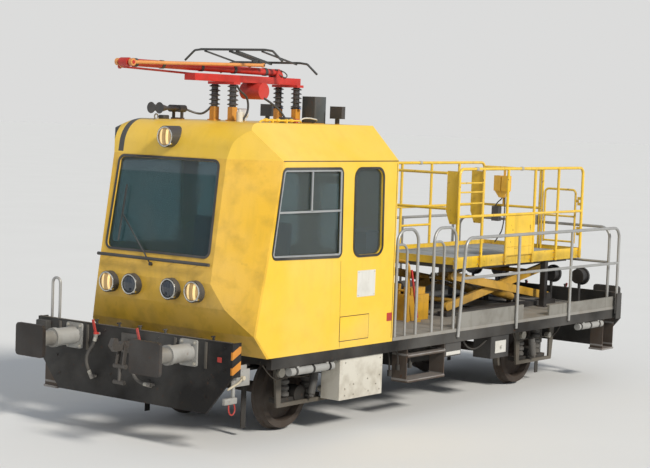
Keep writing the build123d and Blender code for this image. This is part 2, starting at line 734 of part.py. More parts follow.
# Front lamps: four tube lamps below the windscreen and one on the brow.
front_lamp_z = 1700
front_lamp_ys = (-654, -297, 297, 654)
front_lamp_radius = 122
brow_lamp_z = 3383
with BuildPart() as front_lamps:
    for y in front_lamp_ys:
        bar((3960, y, front_lamp_z), (4085, y, front_lamp_z), front_lamp_radius)
    bar((3500, 0, brow_lamp_z), (3885, 0, brow_lamp_z), front_lamp_radius)
    add(cab_outer, mode=Mode.SUBTRACT)
save(front_lamps, "front_lamps")

# Bar and wiper below and on the windscreen: a grab bar on short stays, and an arm with a blade.
bar_distance = 52
bar_z = 2000
with BuildPart() as bar_and_wiper:
    bar(off_screen(-850, bar_z, bar_distance), off_screen(850, bar_z, bar_distance), 19)
    for y in (-660, 300, 660):
        bar(off_screen(y, bar_z, 0), off_screen(y, bar_z, bar_distance), 10)
    bar(off_screen(-50, 1945, 0), off_screen(-50, 1945, 28), 20)
    bar(off_screen(-50, 1945, 19), off_screen(-582, 2480, 19), 8)
    bar(off_screen(-592, 2170, 19), off_screen(-572, 2810, 19), 10)
save(bar_and_wiper, "bar_and_wiper")

# Cab inside: a desk under the windscreen, two seats and a cabinet.
seat_ys = (520, -480)
with BuildPart() as cab_furniture:
    plate(side_plane(820), [(3330, floor_top), (3640, floor_top), (3700, 1900), (3600, 2000), (3250, 1860),
                            (3250, 1800), (3330, 1760)], 1640)
    for y in seat_ys:
        bar((2750, y, floor_top), (2750, y, 1500), 60)
        block((2500, y - 240, 1500), (3010, y + 240, 1610))
        plate(side_plane(y + 220), [(2500, 1610), (2600, 1610), (2540, 2420), (2470, 2400)], 440)
    block((rear_inside, -1000, floor_top), (1750, -860, 2300))
    block((rear_inside, 900, floor_top), (1850, 1360, 2330))
save(cab_furniture, "cab_furniture")

# Roof fittings: two horns, a box, two rear work lights, an air bottle and the insulators' stools.
insulator_y = 140
insulator_places = ((2900, 3740), (1720, 3740))
insulator_top = 4000
with BuildPart() as roof_fittings:
    block((1400, 150, cab_roof_z), (1620, 360, 3900))
    fillet(roof_fittings.edges().filter_by(Axis.Z), radius=15)
    for y in (-520, -390):
        turned((3140, y, 3700), (1, 0, 0), [(0, 42), (110, 42), (110, 16), (300, 22), (400, 46), (430, 66)])
        block((3170, y - 12, cab_roof_z), (3200, y + 12, 3690))
    block((3160, -540, cab_roof_z), (3210, -370, cab_roof_z + 20))
    for y in (-550, 550):
        block((1400, y - 20, cab_roof_z), (1440, y + 20, 3640))
        block((1385, y - 90, 3640), (1455, y + 90, 3790))
    bar((2510, 0, 3665), (2750, 0, 3665), 62)
    for x in (2550, 2710):
        block((x - 15, -50, cab_roof_z), (x + 15, 50, 3660))
    for x, foot in insulator_places:
        for y in (insulator_y, -insulator_y):
            block((x - 60, y - 50, cab_roof_z), (x + 60, y + 50, cab_roof_z + 16))
            block((x - 45, y - 35, cab_roof_z), (x + 45, y + 35, foot))
save(roof_fittings, "roof_fittings")

rib_count = 5
with BuildPart() as insulators:
    for x, foot in insulator_places:
        for side in (1, -1):
            step = (insulator_top - foot) / rib_count
            profile = [(0, 40)]
            for rib in range(rib_count):
                profile += [(rib * step + step * 0.3, 40), (rib * step + step * 0.45, 66),
                            (rib * step + step * 0.6, 66), (rib * step + step * 0.85, 40)]
            profile += [(insulator_top - foot, 40)]
            turned((x, side * insulator_y, foot), (0, 0, 1), profile)
save(insulators, "insulators")

# Pantograph base: a long beam on two cross plates, a drive drum below it, and the arm's pivot lugs.
base_beam_z = 4030
base_beam_top = 4112
base_half_width = 80
arm_radius = 42
lug_gap = 5
pivot_pin = 18
pin_clearance = 0.3
rod_y = -150
with BuildPart() as pantograph_base:
    block((rod_pivot_x - 30, -base_half_width, base_beam_z), (3500, base_half_width, base_beam_top))
    for x, foot in insulator_places:
        block((x - 60, -insulator_y - 60, insulator_top), (x + 60, insulator_y + 60, base_beam_z))
    bar((2350, -150, 3938), (2350, 150, 3938), 100)
    for side in (1, -1):
        inner = side * (arm_radius + lug_gap)
        plate(side_plane(max(inner, inner + side * 15)),
              [(1880, base_beam_top), (2020, base_beam_top), (1980, 4205), (1920, 4205)], 15)
    bar((arm_pivot_x, -arm_radius - lug_gap - 15, arm_pivot_z),
        (arm_pivot_x, arm_radius + lug_gap + 15, arm_pivot_z), pivot_pin)
    block((rod_pivot_x - 28, -base_half_width - 25, rod_pivot_z - 20),
          (rod_pivot_x + 28, -base_half_width, base_beam_top - 10))
    bar((rod_pivot_x, -base_half_width, rod_pivot_z), (rod_pivot_x, rod_y - 20, rod_pivot_z),
        9)
save(pantograph_base, "pantograph_base")

# Lower arm: one thick tube between the base pivot and the knee, with the knee's axle across its end.
knee_z = 4190
knee_axle = 20
knee_eye_y = 105
with BuildPart() as pantograph_lower_arm:
    bar((arm_pivot_x, 0, arm_pivot_z), (knee_x, 0, knee_z), arm_radius)
    bar((arm_pivot_x, -arm_radius, arm_pivot_z), (arm_pivot_x, arm_radius, arm_pivot_z), arm_radius + 3)
    bar((knee_x, -60, knee_z), (knee_x, 60, knee_z), arm_radius + 6)
    bar((knee_x, -knee_eye_y - 25, knee_z), (knee_x, knee_eye_y + 25, knee_z), knee_axle)
    bar((arm_pivot_x, -100, arm_pivot_z), (arm_pivot_x, 100, arm_pivot_z), pivot_pin + pin_clearance,
        mode=Mode.SUBTRACT)
save(pantograph_lower_arm, "pantograph_lower_arm")

# Upper arm: two thinner tubes from the knee back to the head, with a lever for the push rod.
upper_radius = 20
head_pin = 12
lever_x = 4480
lever_z = 4140
upper_link_x = 2480
with BuildPart() as pantograph_upper_arm:
    for side in (1, -1):
        y = side * knee_eye_y
        bar((knee_x, y, knee_z), (head_pivot_x, y, head_pivot_z), upper_radius)
        bar((knee_x, y - 20, knee_z), (knee_x, y + 20, knee_z), 40)
        bar((head_pivot_x, y - 15, head_pivot_z), (head_pivot_x, y + 15, head_pivot_z), 26)
    share = (knee_x - upper_link_x) / (knee_x - head_pivot_x)
    link_z = knee_z + share * (head_pivot_z - knee_z)
    bar((upper_link_x, -knee_eye_y, link_z), (upper_link_x, knee_eye_y, link_z), 11)
    beam((knee_x, -knee_eye_y - 13, knee_z), (lever_x, -knee_eye_y - 13, lever_z), 14, 34)
    bar((lever_x, -knee_eye_y - 6, lever_z), (lever_x, rod_y - 18, lever_z), 9)
    bar((knee_x, -200, knee_z), (knee_x, 200, knee_z), knee_axle + pin_clearance, mode=Mode.SUBTRACT)
    bar((head_pivot_x, -200, head_pivot_z), (head_pivot_x, 200, head_pivot_z), head_pin + pin_clearance,
        mode=Mode.SUBTRACT)
save(pantograph_upper_arm, "pantograph_upper_arm")

# Push rod: from a lug on the base beam to the upper arm's lever, its front eye a loose fit.
rod_radius = 12
rod_eye_radius = 24
with BuildPart() as pantograph_push_rod:
    bar((rod_pivot_x, rod_y, rod_pivot_z), (lever_x, rod_y, lever_z), rod_radius)
    for x, z in ((rod_pivot_x, rod_pivot_z), (lever_x, lever_z)):
        bar((x, rod_y - 10, z), (x, rod_y + 10, z), rod_eye_radius)
    bar((rod_pivot_x, rod_y - 30, rod_pivot_z), (rod_pivot_x, rod_y + 30, rod_pivot_z),
        9 + pin_clearance, mode=Mode.SUBTRACT)
    bar((lever_x, rod_y - 30, lever_z), (lever_x, rod_y + 30, lever_z), 9 + 6, mode=Mode.SUBTRACT)
save(pantograph_push_rod, "pantograph_push_rod")

# Head: a hub between the upper arm's eyes, side members, and two bows with turned down horns.
front_bow = (2760, 4410)
rear_bow = (2110, 4285)
bow_flat = 490
bow_half_width = 750
bow_drop = 130
member_ys = (-52, 52)
with BuildPart() as pantograph_head:
    bar((head_pivot_x, -knee_eye_y - 22, head_pivot_z), (head_pivot_x, knee_eye_y + 22, head_pivot_z), head_pin)
    bar((head_pivot_x, -70, head_pivot_z), (head_pivot_x, 70, head_pivot_z), 20)
    for y in member_ys:
        beam((rear_bow[0], y, rear_bow[1] - 18), (front_bow[0], y, front_bow[1] - 18), 24, 24)
        block((head_pivot_x - 14, y - 10, head_pivot_z), (head_pivot_x + 14, y + 10, 4315))
    for y in (-440, 440):
        beam((rear_bow[0], y, rear_bow[1] - 18), (front_bow[0], y, front_bow[1] - 18), 18, 18)
    for x, z in (front_bow, rear_bow):
        tube([(x, -bow_half_width, z - bow_drop), (x, -bow_flat - 110, z - 12), (x, -bow_flat, z),
              (x, bow_flat, z), (x, bow_flat + 110, z - 12), (x, bow_half_width, z - bow_drop)], 60, 13)
        block((x - 25, -bow_flat, z - 13), (x + 25, bow_flat, z + 13))
save(pantograph_head, "pantograph_head")

# Lift base: two rails on the deck with thin ties, the arms' fixed pivots, the cylinders' lugs, and two
# posts that the lowered platform rests over.
rest_y = 780
arm_a_y = 600
arm_b_y = 540
arm_width = 50
arm_half_height = 55
rail_low = 500
rail_high = 645
base_rail_top = 1105
bracket_gap = 5
bracket_thickness = 12
bracket_foot = base_rail_top + 0.3
arm_pin = 25
tie_xs = (-3850, -3330, -2300, -1080)
cylinder_y = 250
cylinder_x = -3330
cylinder_z = 1130
cylinder_pin = 20
with BuildPart() as lift_base:
    for side in (1, -1):
        block((-3900, side * rail_low, deck_top), (-1020, side * rail_high, base_rail_top))
        for face in (arm_a_y - arm_width / 2 - bracket_gap - bracket_thickness,
                     arm_a_y + arm_width / 2 + bracket_gap):
            plate(side_plane(max(side * face, side * (face + bracket_thickness))),
                  [(lift_pivot_x - 75, bracket_foot), (lift_pivot_x + 75, bracket_foot),
                   (lift_pivot_x + 40, lift_pivot_z + 45), (lift_pivot_x - 40, lift_pivot_z + 45)],
                  bracket_thickness)
        bar((lift_pivot_x, side * (arm_a_y - arm_width / 2 - bracket_gap - 2), lift_pivot_z),
            (lift_pivot_x, side * (arm_a_y + arm_width / 2 + bracket_gap + 2), lift_pivot_z), arm_pin)
        for face in (cylinder_y - 58, cylinder_y + 46):
            plate(side_plane(max(side * face, side * (face + bracket_thickness))),
                  [(cylinder_x - 70, deck_top), (cylinder_x + 70, deck_top),
                   (cylinder_x + 30, cylinder_z + 40), (cylinder_x - 30, cylinder_z + 40)], bracket_thickness)
        bar((cylinder_x, side * (cylinder_y - 48), cylinder_z), (cylinder_x, side * (cylinder_y + 48), cylinder_z),
            cylinder_pin)
    for x in tie_xs:
        block((x - 60, -rail_low, deck_top), (x + 60, rail_low, deck_top + 10))
    for y in (rest_y, -rest_y):
        block((-3340, y - 40, deck_top), (-3260, y + 40, frame_bottom_z - 5))
        block((-3370, y - 70, deck_top), (-3230, y + 70, deck_top + 12))
save(lift_base, "lift_base")

# Scissor arms: outer pair hinged on the base, inner pair carried on the outer pair's centre pins.
rest = radians(arm_rest_angle)
run_x = arm_length * cos(rest)
rise_z = arm_length * sin(rest)
low_rear = (lift_pivot_x, lift_pivot_z)
high_front = (lift_pivot_x + run_x, lift_pivot_z + rise_z)
low_front = (lift_pivot_x + run_x, lift_pivot_z)
high_rear = (lift_pivot_x, lift_pivot_z + rise_z)
centre = (lift_pivot_x + run_x / 2, lift_pivot_z + rise_z / 2)
centre_pin = 30
eye_distance = 1700
eye_tube = 30


def along_a(distance):
    """A point on the outer arms' centre line at rest."""
    return (lift_pivot_x + distance * cos(rest), lift_pivot_z + distance * sin(rest))


def along_b(distance):
    """A point on the inner arms' centre line at rest, from their front rollers."""
    return (low_front[0] - distance * cos(rest), low_front[1] + distance * sin(rest))


def arm_blade(start, end, y):
    """A straight arm with round ends, centred on a Y."""
    beam((start[0], y, start[1]), (end[0], y, end[1]), arm_width, 2 * arm_half_height)
    for point in (start, end):
        bar((point[0], y - arm_width / 2, point[1]), (point[0], y + arm_width / 2, point[1]), arm_half_height)


eye_point = along_a(eye_distance)
with BuildPart() as scissor_outer:
    for side in (1, -1):
        arm_blade(low_rear, high_front, side * arm_a_y)
        bar((low_rear[0], side * (arm_a_y - 40), low_rear[1]), (low_rear[0], side * (arm_a_y + 40), low_rear[1]),
            arm_pin + pin_clearance, mode=Mode.SUBTRACT)
        bar((centre[0], side * arm_a_y, centre[1]), (centre[0], side * (arm_b_y - arm_width / 2 - 8), centre[1]),
            centre_pin)
    bar((eye_point[0], -arm_a_y, eye_point[1]), (eye_point[0], arm_a_y, eye_point[1]), eye_tube)
save(scissor_outer, "scissor_outer")

with BuildPart() as scissor_inner:
    for side in (1, -1):
        arm_blade(low_front, high_rear, side * arm_b_y)
        bar((high_rear[0], side * (arm_b_y - 40), high_rear[1]),
            (high_rear[0], side * (arm_b_y + 40), high_rear[1]), arm_pin + pin_clearance, mode=Mode.SUBTRACT)
        bar((centre[0], side * (arm_b_y - 40), centre[1]), (centre[0], side * (arm_b_y + 40), centre[1]),
            centre_pin + pin_clearance, mode=Mode.SUBTRACT)
    for distance in (300, arm_length - 360):
        place = along_b(distance)
        bar((place[0], -arm_b_y, place[1]), (place[0], arm_b_y, place[1]), 32)
save(scissor_inner, "scissor_inner")

# Lift cylinders: bored barrels on the base lugs, and rods whose eyes fit loosely round the cross tube.
cylinder_run = Vector(eye_point[0] - cylinder_x, 0, eye_point[1] - cylinder_z)
cylinder_length = cylinder_run.length
cylinder_way = cylinder_run.normalized()
barrel_radius = 62
rod_thickness = 30
barrel_length = 860
eye_clearance = 16


def on_cylinder(distance, y):
    """A point on a cylinder's axis at rest."""
    return (cylinder_x + cylinder_way.X * distance, y, cylinder_z + cylinder_way.Z * distance)


with BuildPart() as lift_barrels:
    for side in (1, -1):
        y = side * cylinder_y
        bar(on_cylinder(50, y), on_cylinder(barrel_length, y), barrel_radius)
        bar((cylinder_x, y - 40, cylinder_z), (cylinder_x, y + 40, cylinder_z), 42)
        beam(on_cylinder(0, y), on_cylinder(60, y), 60, 70)
        bar((cylinder_x, y - 60, cylinder_z), (cylinder_x, y + 60, cylinder_z), cylinder_pin + pin_clearance,
            mode=Mode.SUBTRACT)
        bar(on_cylinder(90, y), on_cylinder(barrel_length + 10, y), rod_thickness + pin_clearance,
            mode=Mode.SUBTRACT)
save(lift_barrels, "lift_barrels")

with BuildPart() as lift_rods:
    for side in (1, -1):
        y = side * cylinder_y
        bar(on_cylinder(400, y), on_cylinder(cylinder_length - eye_tube - eye_clearance - 4, y), rod_thickness)
        bar((eye_point[0], y - 34, eye_point[1]), (eye_point[0], y + 34, eye_point[1]),
            eye_tube + eye_clearance + 22)
        bar((eye_point[0], y - 50, eye_point[1]), (eye_point[0], y + 50, eye_point[1]),
            eye_tube + eye_clearance, mode=Mode.SUBTRACT)
save(lift_rods, "lift_rods")

# Platform: a floor on cross beams between toe boards, running rails and the inner arms' brackets below.
side_plate = 20
inner_half = platform_half_width - 41
cross_beam_xs = (-4150, -3700, -3300, -2500, -1700, -940)
with BuildPart() as platform_floor:
    block((platform_rear + 20, -inner_half, platform_floor_top - platform_floor_thickness),
          (platform_front - 20, inner_half, platform_floor_top))
    for x in cross_beam_xs:
        block((x - 35, -inner_half, frame_bottom_z), (x + 35, inner_half,
                                                      platform_floor_top - platform_floor_thickness))
    for side in (1, -1):
        block((platform_rear + 6, side * inner_half, frame_bottom_z),
              (platform_front - 6, side * (inner_half + side_plate), toe_board_top))
        block((platform_rear + 30, side * 570, under_rail_z), (platform_front - 30, side * 632, frame_bottom_z))
        block((lift_pivot_x - 50, side * (arm_b_y - 42), high_rear[1] - 45),
              (lift_pivot_x + 50, side * (arm_b_y - 30), frame_bottom_z))
        block((lift_pivot_x - 50, side * (arm_b_y + 30), high_rear[1] - 45),
              (lift_pivot_x + 50, side * (arm_b_y + 30 + 8), under_rail_z))
        bar((lift_pivot_x, side * (arm_b_y - 40), high_rear[1]), (lift_pivot_x, side * (arm_b_y + 34),
                                                                 high_rear[1]), arm_pin)
    for x in (platform_rear + 6, platform_front - 20):
        block((x, -inner_half, platform_floor_top - platform_floor_thickness),
              (x + 14, inner_half, toe_board_top))
save(platform_floor, "platform_floor")

# Platform railings: tube posts with shoes on the side plates, middle and top rails, and a rung stile.
platform_tube = 21
left_posts = (-890, -1480, -2110, -2830, -3480, -4180)
right_posts = (-890, -1450, -2000, -2750, -3480, -4180)
rung_zs = (2406, 2574, 2723, 2845)
shoe_low = 1735
gate_low_y = 232
gate_hinge_y = 790
platform_sides = ((1, left_posts), (-1, right_posts))
with BuildPart() as platform_railings:
    for side, posts in platform_sides:
        y = side * (platform_half_width + 1)
        tube([(posts[0], y, frame_bottom_z), (posts[0], y, platform_rail_z), (posts[-1], y, platform_rail_z),
              (posts[-1], y, frame_bottom_z)], 90, platform_tube)
        bar((posts[0], y, platform_mid_z), (posts[-1], y, platform_mid_z), platform_tube - 2)
        for x in posts:
            if x not in (posts[0], posts[-1]):
                bar((x, y, frame_bottom_z), (x, y, platform_rail_z), platform_tube - 1)
            block((x - 24, side * (inner_half + side_plate), shoe_low), (x + 24, y, shoe_low + 90))
        if side > 0:
            for z in rung_zs:
                bar((posts[0], y, z), (posts[1], y, z), 11)
            panel_y = platform_half_width
            block((posts[3], panel_y - 4, 1830), (posts[2], panel_y + 4, platform_mid_z))
        else:
            bar((posts[2], y, 2130), (posts[3], y, 2130), platform_tube - 4)
save(platform_railings, "platform_railings")

# Inner rails: upright plates beside the rungs with the front rails, the rear rails on a double post, and
# the gate's hinges on the left corner post.
guard_zs = (2300, 3000)
guard_inner_y = 660
end_y = platform_half_width - 20
rear_x = left_posts[-1]
rear_post_ys = (140, 185)
gate_hinge_zs = (2080, 2520)
gate_knuckle = 40
with BuildPart() as platform_end_rails:
    for x, post_radius in ((left_posts[0], platform_tube), (left_posts[1], platform_tube - 1)):
        outer = platform_half_width + 1 - post_radius
        plate(end_plane(x - 5), [(outer, guard_zs[0]), (outer, guard_zs[1]), (guard_inner_y, guard_zs[1]),
                                 (guard_inner_y, guard_zs[0] + 160), (720, guard_zs[0])], 10)
    for z in (platform_rail_z - 60, platform_mid_z + 100):
        bar((left_posts[0], -end_y, z), (left_posts[0], guard_inner_y, z), platform_tube - 2)
    for y in rear_post_ys:
        bar((rear_x, y, platform_floor_top), (rear_x, y, platform_rail_z - 60), platform_tube - 3)
    for z in (platform_rail_z - 60, platform_mid_z):
        bar((rear_x, -end_y, z), (rear_x, rear_post_ys[1], z), platform_tube - 2)
    for z in gate_hinge_zs:
        bar((rear_x, gate_hinge_y, z - gate_knuckle), (rear_x, gate_hinge_y, z + 2 * gate_knuckle), hinge_pin)
        for low in (z - 2 - gate_knuckle, z + gate_knuckle + 2):
            bar((rear_x, gate_hinge_y, low), (rear_x, gate_hinge_y, low + gate_knuckle), 12)
            block((rear_x - 4, gate_hinge_y, low), (rear_x + 4, end_y, low + gate_knuckle))
save(platform_end_rails, "platform_end_rails")

# Platform gate: a framed leaf in the rear, hinged beside the corner post and opening inwards.
gate_top = 2700
gate_bottom = 1915
gate_tube = 16
gate_stile_y = gate_hinge_y - 45
with BuildPart() as platform_gate:
    tube([(rear_x, gate_stile_y, gate_bottom), (rear_x, gate_stile_y, gate_top), (rear_x, gate_low_y, gate_top),
          (rear_x, gate_low_y, gate_bottom)], 60, gate_tube)
    for z in (gate_bottom + 20, (gate_bottom + gate_top) / 2):
        bar((rear_x, gate_stile_y, z), (rear_x, gate_low_y, z), gate_tube - 2)
    for z in gate_hinge_zs:
        bar((rear_x, gate_hinge_y, z), (rear_x, gate_hinge_y, z + gate_knuckle), 12)
        block((rear_x - 4, gate_stile_y, z), (rear_x + 4, gate_hinge_y, z + gate_knuckle))
        bar((rear_x, gate_hinge_y, z - 10), (rear_x, gate_hinge_y, z + gate_knuckle + 10),
            hinge_pin + hinge_clearance, mode=Mode.SUBTRACT)
save(platform_gate, "platform_gate")

# Control boxes on the rear rails: a pair with a tapered foot, one on the double post, one below the rail.
rail_face = rear_x + platform_tube - 2
with BuildPart() as control_boxes:
    block((rail_face, -490, platform_mid_z - 10), (rail_face + 8, -450, platform_rail_z - 45))
    for y1, y2 in ((-600, -482), (-468, -350)):
        block((rail_face + 8, y1, 2620), (rail_face + 100, y2, 2850))
    plate(end_plane(rail_face + 8), [(-590, 2620), (-360, 2620), (-440, 2520), (-510, 2520)], 80)
    block((rear_x - 18, -40, 2150), (rear_x + 80, rear_post_ys[0] - platform_tube + 3, 2290))
    block((rear_x - 18, -650, 2160), (rear_x + 70, -530, platform_mid_z - platform_tube + 2))
save(control_boxes, "control_boxes")

# Hydraulic unit behind the landing: a tank with a motor and pump on top, a hoop that guards it, and a
# hand lever on its own foot.
tank_top = 1380
motor_radius = 85
with BuildPart() as hydraulic_unit:
    block((-650, 230, deck_top), (-200, 600, tank_top))
    bar((-590, 330, tank_top + 75), (-330, 330, tank_top + 75), motor_radius)
    block((-330, 270, tank_top), (-260, 390, tank_top + 130))
    block((-600, 450, tank_top), (-280, 570, tank_top + 90))
    tube([(-110, 250, deck_top), (-110, 250, 1830), (-110, 640, 1830), (-110, 640, deck_top)], 100, 20)
    bar((-110, 250, 1450), (-110, 640, 1450), 16)
    block((-290, 680, deck_top), (-210, 730, deck_top + 30))
    beam((-250, 705, deck_top + 20), (-75, 705, 1730), 18, 26)
save(hydraulic_unit, "hydraulic_unit")

# Brake hoses' routes on an end plate, each point (y, z, how far it bows out), from the cock to its holder.
cock_reach = 62
hose_radius = 18
hose_routes = (
    ((-490, 1105, 0), (-513, 1018, 6), (-575, 939, 24), (-601, 843, 34), (-583, 744, 22), (-550, 672, 4)),
    ((195, 1078, 0), (172, 991, 6), (119, 906, 20), (110, 807, 28), (155, 718, 22), (242, 668, 10),
     (332, 664, 4)))
cock_top = 32
cock_body = 10
cock_radius = 24
holder_length = 50
holder_radius = 26


def hose_points(end, index):
    """A hose's route as points beside the end plate."""
    return [Vector(end * (frame_half_length + cock_reach + out), end * y, z)
            for y, z, out in hose_routes[index]]


# Brake cocks with handles on both end plates, and dummy holders for the hoses' lower ends.
with BuildPart() as end_cocks:
    for end in (1, -1):
        face = end * frame_half_length
        for index, route in enumerate(hose_routes):
            points = hose_points(end, index)
            y = points[0].Y
            z = points[0].Z + cock_top
            mouth = points[-1]
            back = mouth + (points[-1] - points[-2]).normalized() * holder_length
            outlet = points[0] - (points[1] - points[0]).normalized() * cock_top
            middle = (mouth + back) * 0.5
            bar((face, y, z), (face + end * cock_reach, y, z), 17)
            bar((face + end * cock_reach, y, z - cock_body), (face + end * cock_reach, y, z + 24), cock_radius)
            bar(tuple(points[0]), tuple(outlet), cock_radius)
            bar(tuple(mouth), tuple(back), holder_radius)
            block((face, middle.Y - 20, middle.Z - 13), (middle.X, middle.Y + 20, middle.Z + 13))
            beam((face + end * cock_reach, y, z + 10), (face + end * cock_reach, y - end * 50, z + 160), 16, 26)
save(end_cocks, "end_cocks")

hoses = (("hose_front_right", 1, 0), ("hose_front_middle", 1, 1), ("hose_rear_left", -1, 0),
         ("hose_rear_middle", -1, 1))
bend_share = 0.45
for name, end, index in hoses:
    points = hose_points(end, index)
    bends = []
    for before, point, after in zip(points, points[1:], points[2:]):
        shorter = min((point - before).length, (after - point).length)
        turn = (point - before).get_angle(after - point)
        bends.append(bend_share * shorter / tan(radians(turn) / 2))
    print(name, "bend radii", [round(bend) for bend in bends])
    with BuildPart() as hose:
        with BuildLine() as route:
            FilletPolyline(*points, radius=bends)
        with BuildSketch(Plane(origin=route.line @ 0, z_dir=route.line % 0)) as hose_section:
            Circle(hose_radius)
        sweep(hose_section.sketch, path=route.line)
    length = sum(edge.length for edge in route.edges())
    print(name, "length", round(length), "volume share", hose.part.volume / (pi * hose_radius**2 * length))
    save(hose, name)
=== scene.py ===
from math import cos, radians, sin

import bpy
from mathutils import Matrix, Vector


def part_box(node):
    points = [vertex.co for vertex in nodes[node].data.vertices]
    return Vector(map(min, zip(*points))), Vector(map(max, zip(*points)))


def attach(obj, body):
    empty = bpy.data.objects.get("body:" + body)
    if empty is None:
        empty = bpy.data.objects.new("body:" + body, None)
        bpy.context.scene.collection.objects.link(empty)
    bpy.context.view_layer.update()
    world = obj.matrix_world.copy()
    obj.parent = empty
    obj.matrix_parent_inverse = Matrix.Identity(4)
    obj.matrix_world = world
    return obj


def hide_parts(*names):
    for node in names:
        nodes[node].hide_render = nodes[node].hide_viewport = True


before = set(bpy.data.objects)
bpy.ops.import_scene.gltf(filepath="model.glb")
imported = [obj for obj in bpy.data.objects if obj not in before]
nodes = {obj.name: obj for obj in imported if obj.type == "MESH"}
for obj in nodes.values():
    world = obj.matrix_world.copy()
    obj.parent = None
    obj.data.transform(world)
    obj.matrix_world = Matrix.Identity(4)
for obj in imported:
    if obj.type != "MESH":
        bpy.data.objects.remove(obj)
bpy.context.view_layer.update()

# Weathering that all painted steel of the vehicle shares: the paint fades in clouds, brake dust and road
# dirt gather low down and in streaks, dust lies on level faces, rust breaks out in spots, and bare steel
# shows along worn edges.


def add_node(tree, kind, **settings):
    node = tree.nodes.new(kind if kind.startswith("NodeGroup") else "ShaderNode" + kind)
    for name, value in settings.items():
        setattr(node, name, value)
    return node


def join(tree, source, target):
    tree.links.new(source, target)


def maths(tree, operation, first, second=None):
    """A math node on sockets or numbers, and its result."""
    node = add_node(tree, "Math", operation=operation, use_clamp=operation in ("ADD", "MULTIPLY"))
    for socket, value in zip(node.inputs, (first, second)):
        if isinstance(value, (int, float)):
            socket.default_value = value
        elif value is not None:
            join(tree, value, socket)
    return node.outputs[0]


def span(tree, value, low, high):
    """A value's place between low and high, as 0 to 1."""
    node = add_node(tree, "MapRange")
    node.inputs["From Min"].default_value = low
    node.inputs["From Max"].default_value = high
    join(tree, value, node.inputs["Value"])
    return node.outputs["Result"]


def blend_colour(tree, share, first, second, blend="MIX"):
    node = add_node(tree, "Mix", data_type="RGBA", blend_type=blend)
    for index, value in ((0, share), (6, first), (7, second)):
        if isinstance(value, (int, float, tuple)):
            node.inputs[index].default_value = value
        else:
            join(tree, value, node.inputs[index])
    return node.outputs[2]


def noise(tree, coordinates, scale, detail=4.0, stretch=None):
    if stretch:
        mapping = add_node(tree, "Mapping")
        mapping.inputs["Scale"].default_value = stretch
        join(tree, coordinates, mapping.inputs["Vector"])
        coordinates = mapping.outputs["Vector"]
    node = add_node(tree, "TexNoise")
    node.inputs["Scale"].default_value = scale
    node.inputs["Detail"].default_value = detail
    join(tree, coordinates, node.inputs["Vector"])
    return node.outputs["Fac"]


weathering = bpy.data.node_groups.new("weathering", "ShaderNodeTree")
for label, kind, value in (
        ("Coordinates", "NodeSocketVector", None), ("Paint", "NodeSocketColor", (0.5, 0.5, 0.5, 1)),
        ("Dirt", "NodeSocketColor", (0.1, 0.08, 0.06, 1)), ("Dirtiness", "NodeSocketFloat", 0.5),
        ("Streaks", "NodeSocketFloat", 0.3), ("Rust", "NodeSocketFloat", 0.2),
        ("Wear", "NodeSocketFloat", 0.3), ("Gloss", "NodeSocketFloat", 0.4)):
    socket = weathering.interface.new_socket(label, in_out="INPUT", socket_type=kind)
    if value is not None:
        socket.default_value = value
for label, kind in (("Colour", "NodeSocketColor"), ("Roughness", "NodeSocketFloat"),
                    ("Height", "NodeSocketFloat")):
    weathering.interface.new_socket(label, in_out="OUTPUT", socket_type=kind)
given = add_node(weathering, "NodeGroupInput").outputs
result = add_node(weathering, "NodeGroupOutput").inputs
place = given["Coordinates"]
apart = add_node(weathering, "SeparateXYZ")
join(weathering, place, apart.inputs[0])
surface = add_node(weathering, "NewGeometry")
facing = add_node(weathering, "SeparateXYZ")
join(weathering, surface.outputs["Normal"], facing.inputs[0])
clouds = span(weathering, noise(weathering, place, 1.1, 5), 0.35, 0.68)
blotches = span(weathering, noise(weathering, place, 5.5, 8), 0.47, 0.72)
runs = span(weathering, noise(weathering, place, 1.0, 6, (11, 11, 0.55)), 0.50, 0.74)
# Darker towards the bottom: dirt low down, and on the cab's front also painted shade.
low_down = span(weathering, apart.outputs["Z"], 1.75, 0.55)
level = maths(weathering, "MULTIPLY", span(weathering, facing.outputs["Z"], 0.55, 1.0),
              span(weathering, noise(weathering, place, 3.0, 7), 0.3, 0.62))
spots = span(weathering, noise(weathering, place, 17, 9), 0.66, 0.71)
rounded = add_node(weathering, "Bevel", samples=4)
rounded.inputs["Radius"].default_value = 0.012
edge = add_node(weathering, "VectorMath", operation="DOT_PRODUCT")
join(weathering, rounded.outputs["Normal"], edge.inputs[0])
join(weathering, surface.outputs["Normal"], edge.inputs[1])
worn = maths(weathering, "MULTIPLY", span(weathering, edge.outputs["Value"], 0.985, 0.86),
             span(weathering, noise(weathering, place, 9, 6), 0.42, 0.6))
worn = maths(weathering, "MULTIPLY", worn, given["Wear"])
rusty = maths(weathering, "MULTIPLY", maths(weathering, "MAXIMUM", spots, worn), given["Rust"])
dirty = maths(weathering, "ADD", maths(weathering, "MULTIPLY", blotches, 0.55),
              maths(weathering, "MULTIPLY", low_down, 0.55))
dirty = maths(weathering, "MULTIPLY",
              maths(weathering, "ADD", dirty, maths(weathering, "MULTIPLY", level, 0.7)),
              given["Dirtiness"])
streaked = maths(weathering, "MULTIPLY", runs, given["Streaks"])
faded = blend_colour(weathering, maths(weathering, "MULTIPLY", clouds, 0.35), given["Paint"],
                     blend_colour(weathering, 0.22, given["Paint"], (1, 0.97, 0.9, 1)))
colour = blend_colour(weathering, maths(weathering, "MAXIMUM", dirty, streaked), faded, given["Dirt"])
colour = blend_colour(weathering, rusty, colour, (0.13, 0.048, 0.02, 1))
join(weathering, colour, result["Colour"])
rough = maths(weathering, "ADD", given["Gloss"], maths(weathering, "MULTIPLY", dirty, 0.4))
join(weathering, maths(weathering, "ADD", rough, maths(weathering, "MULTIPLY", rusty, 0.4)),
     result["Roughness"])
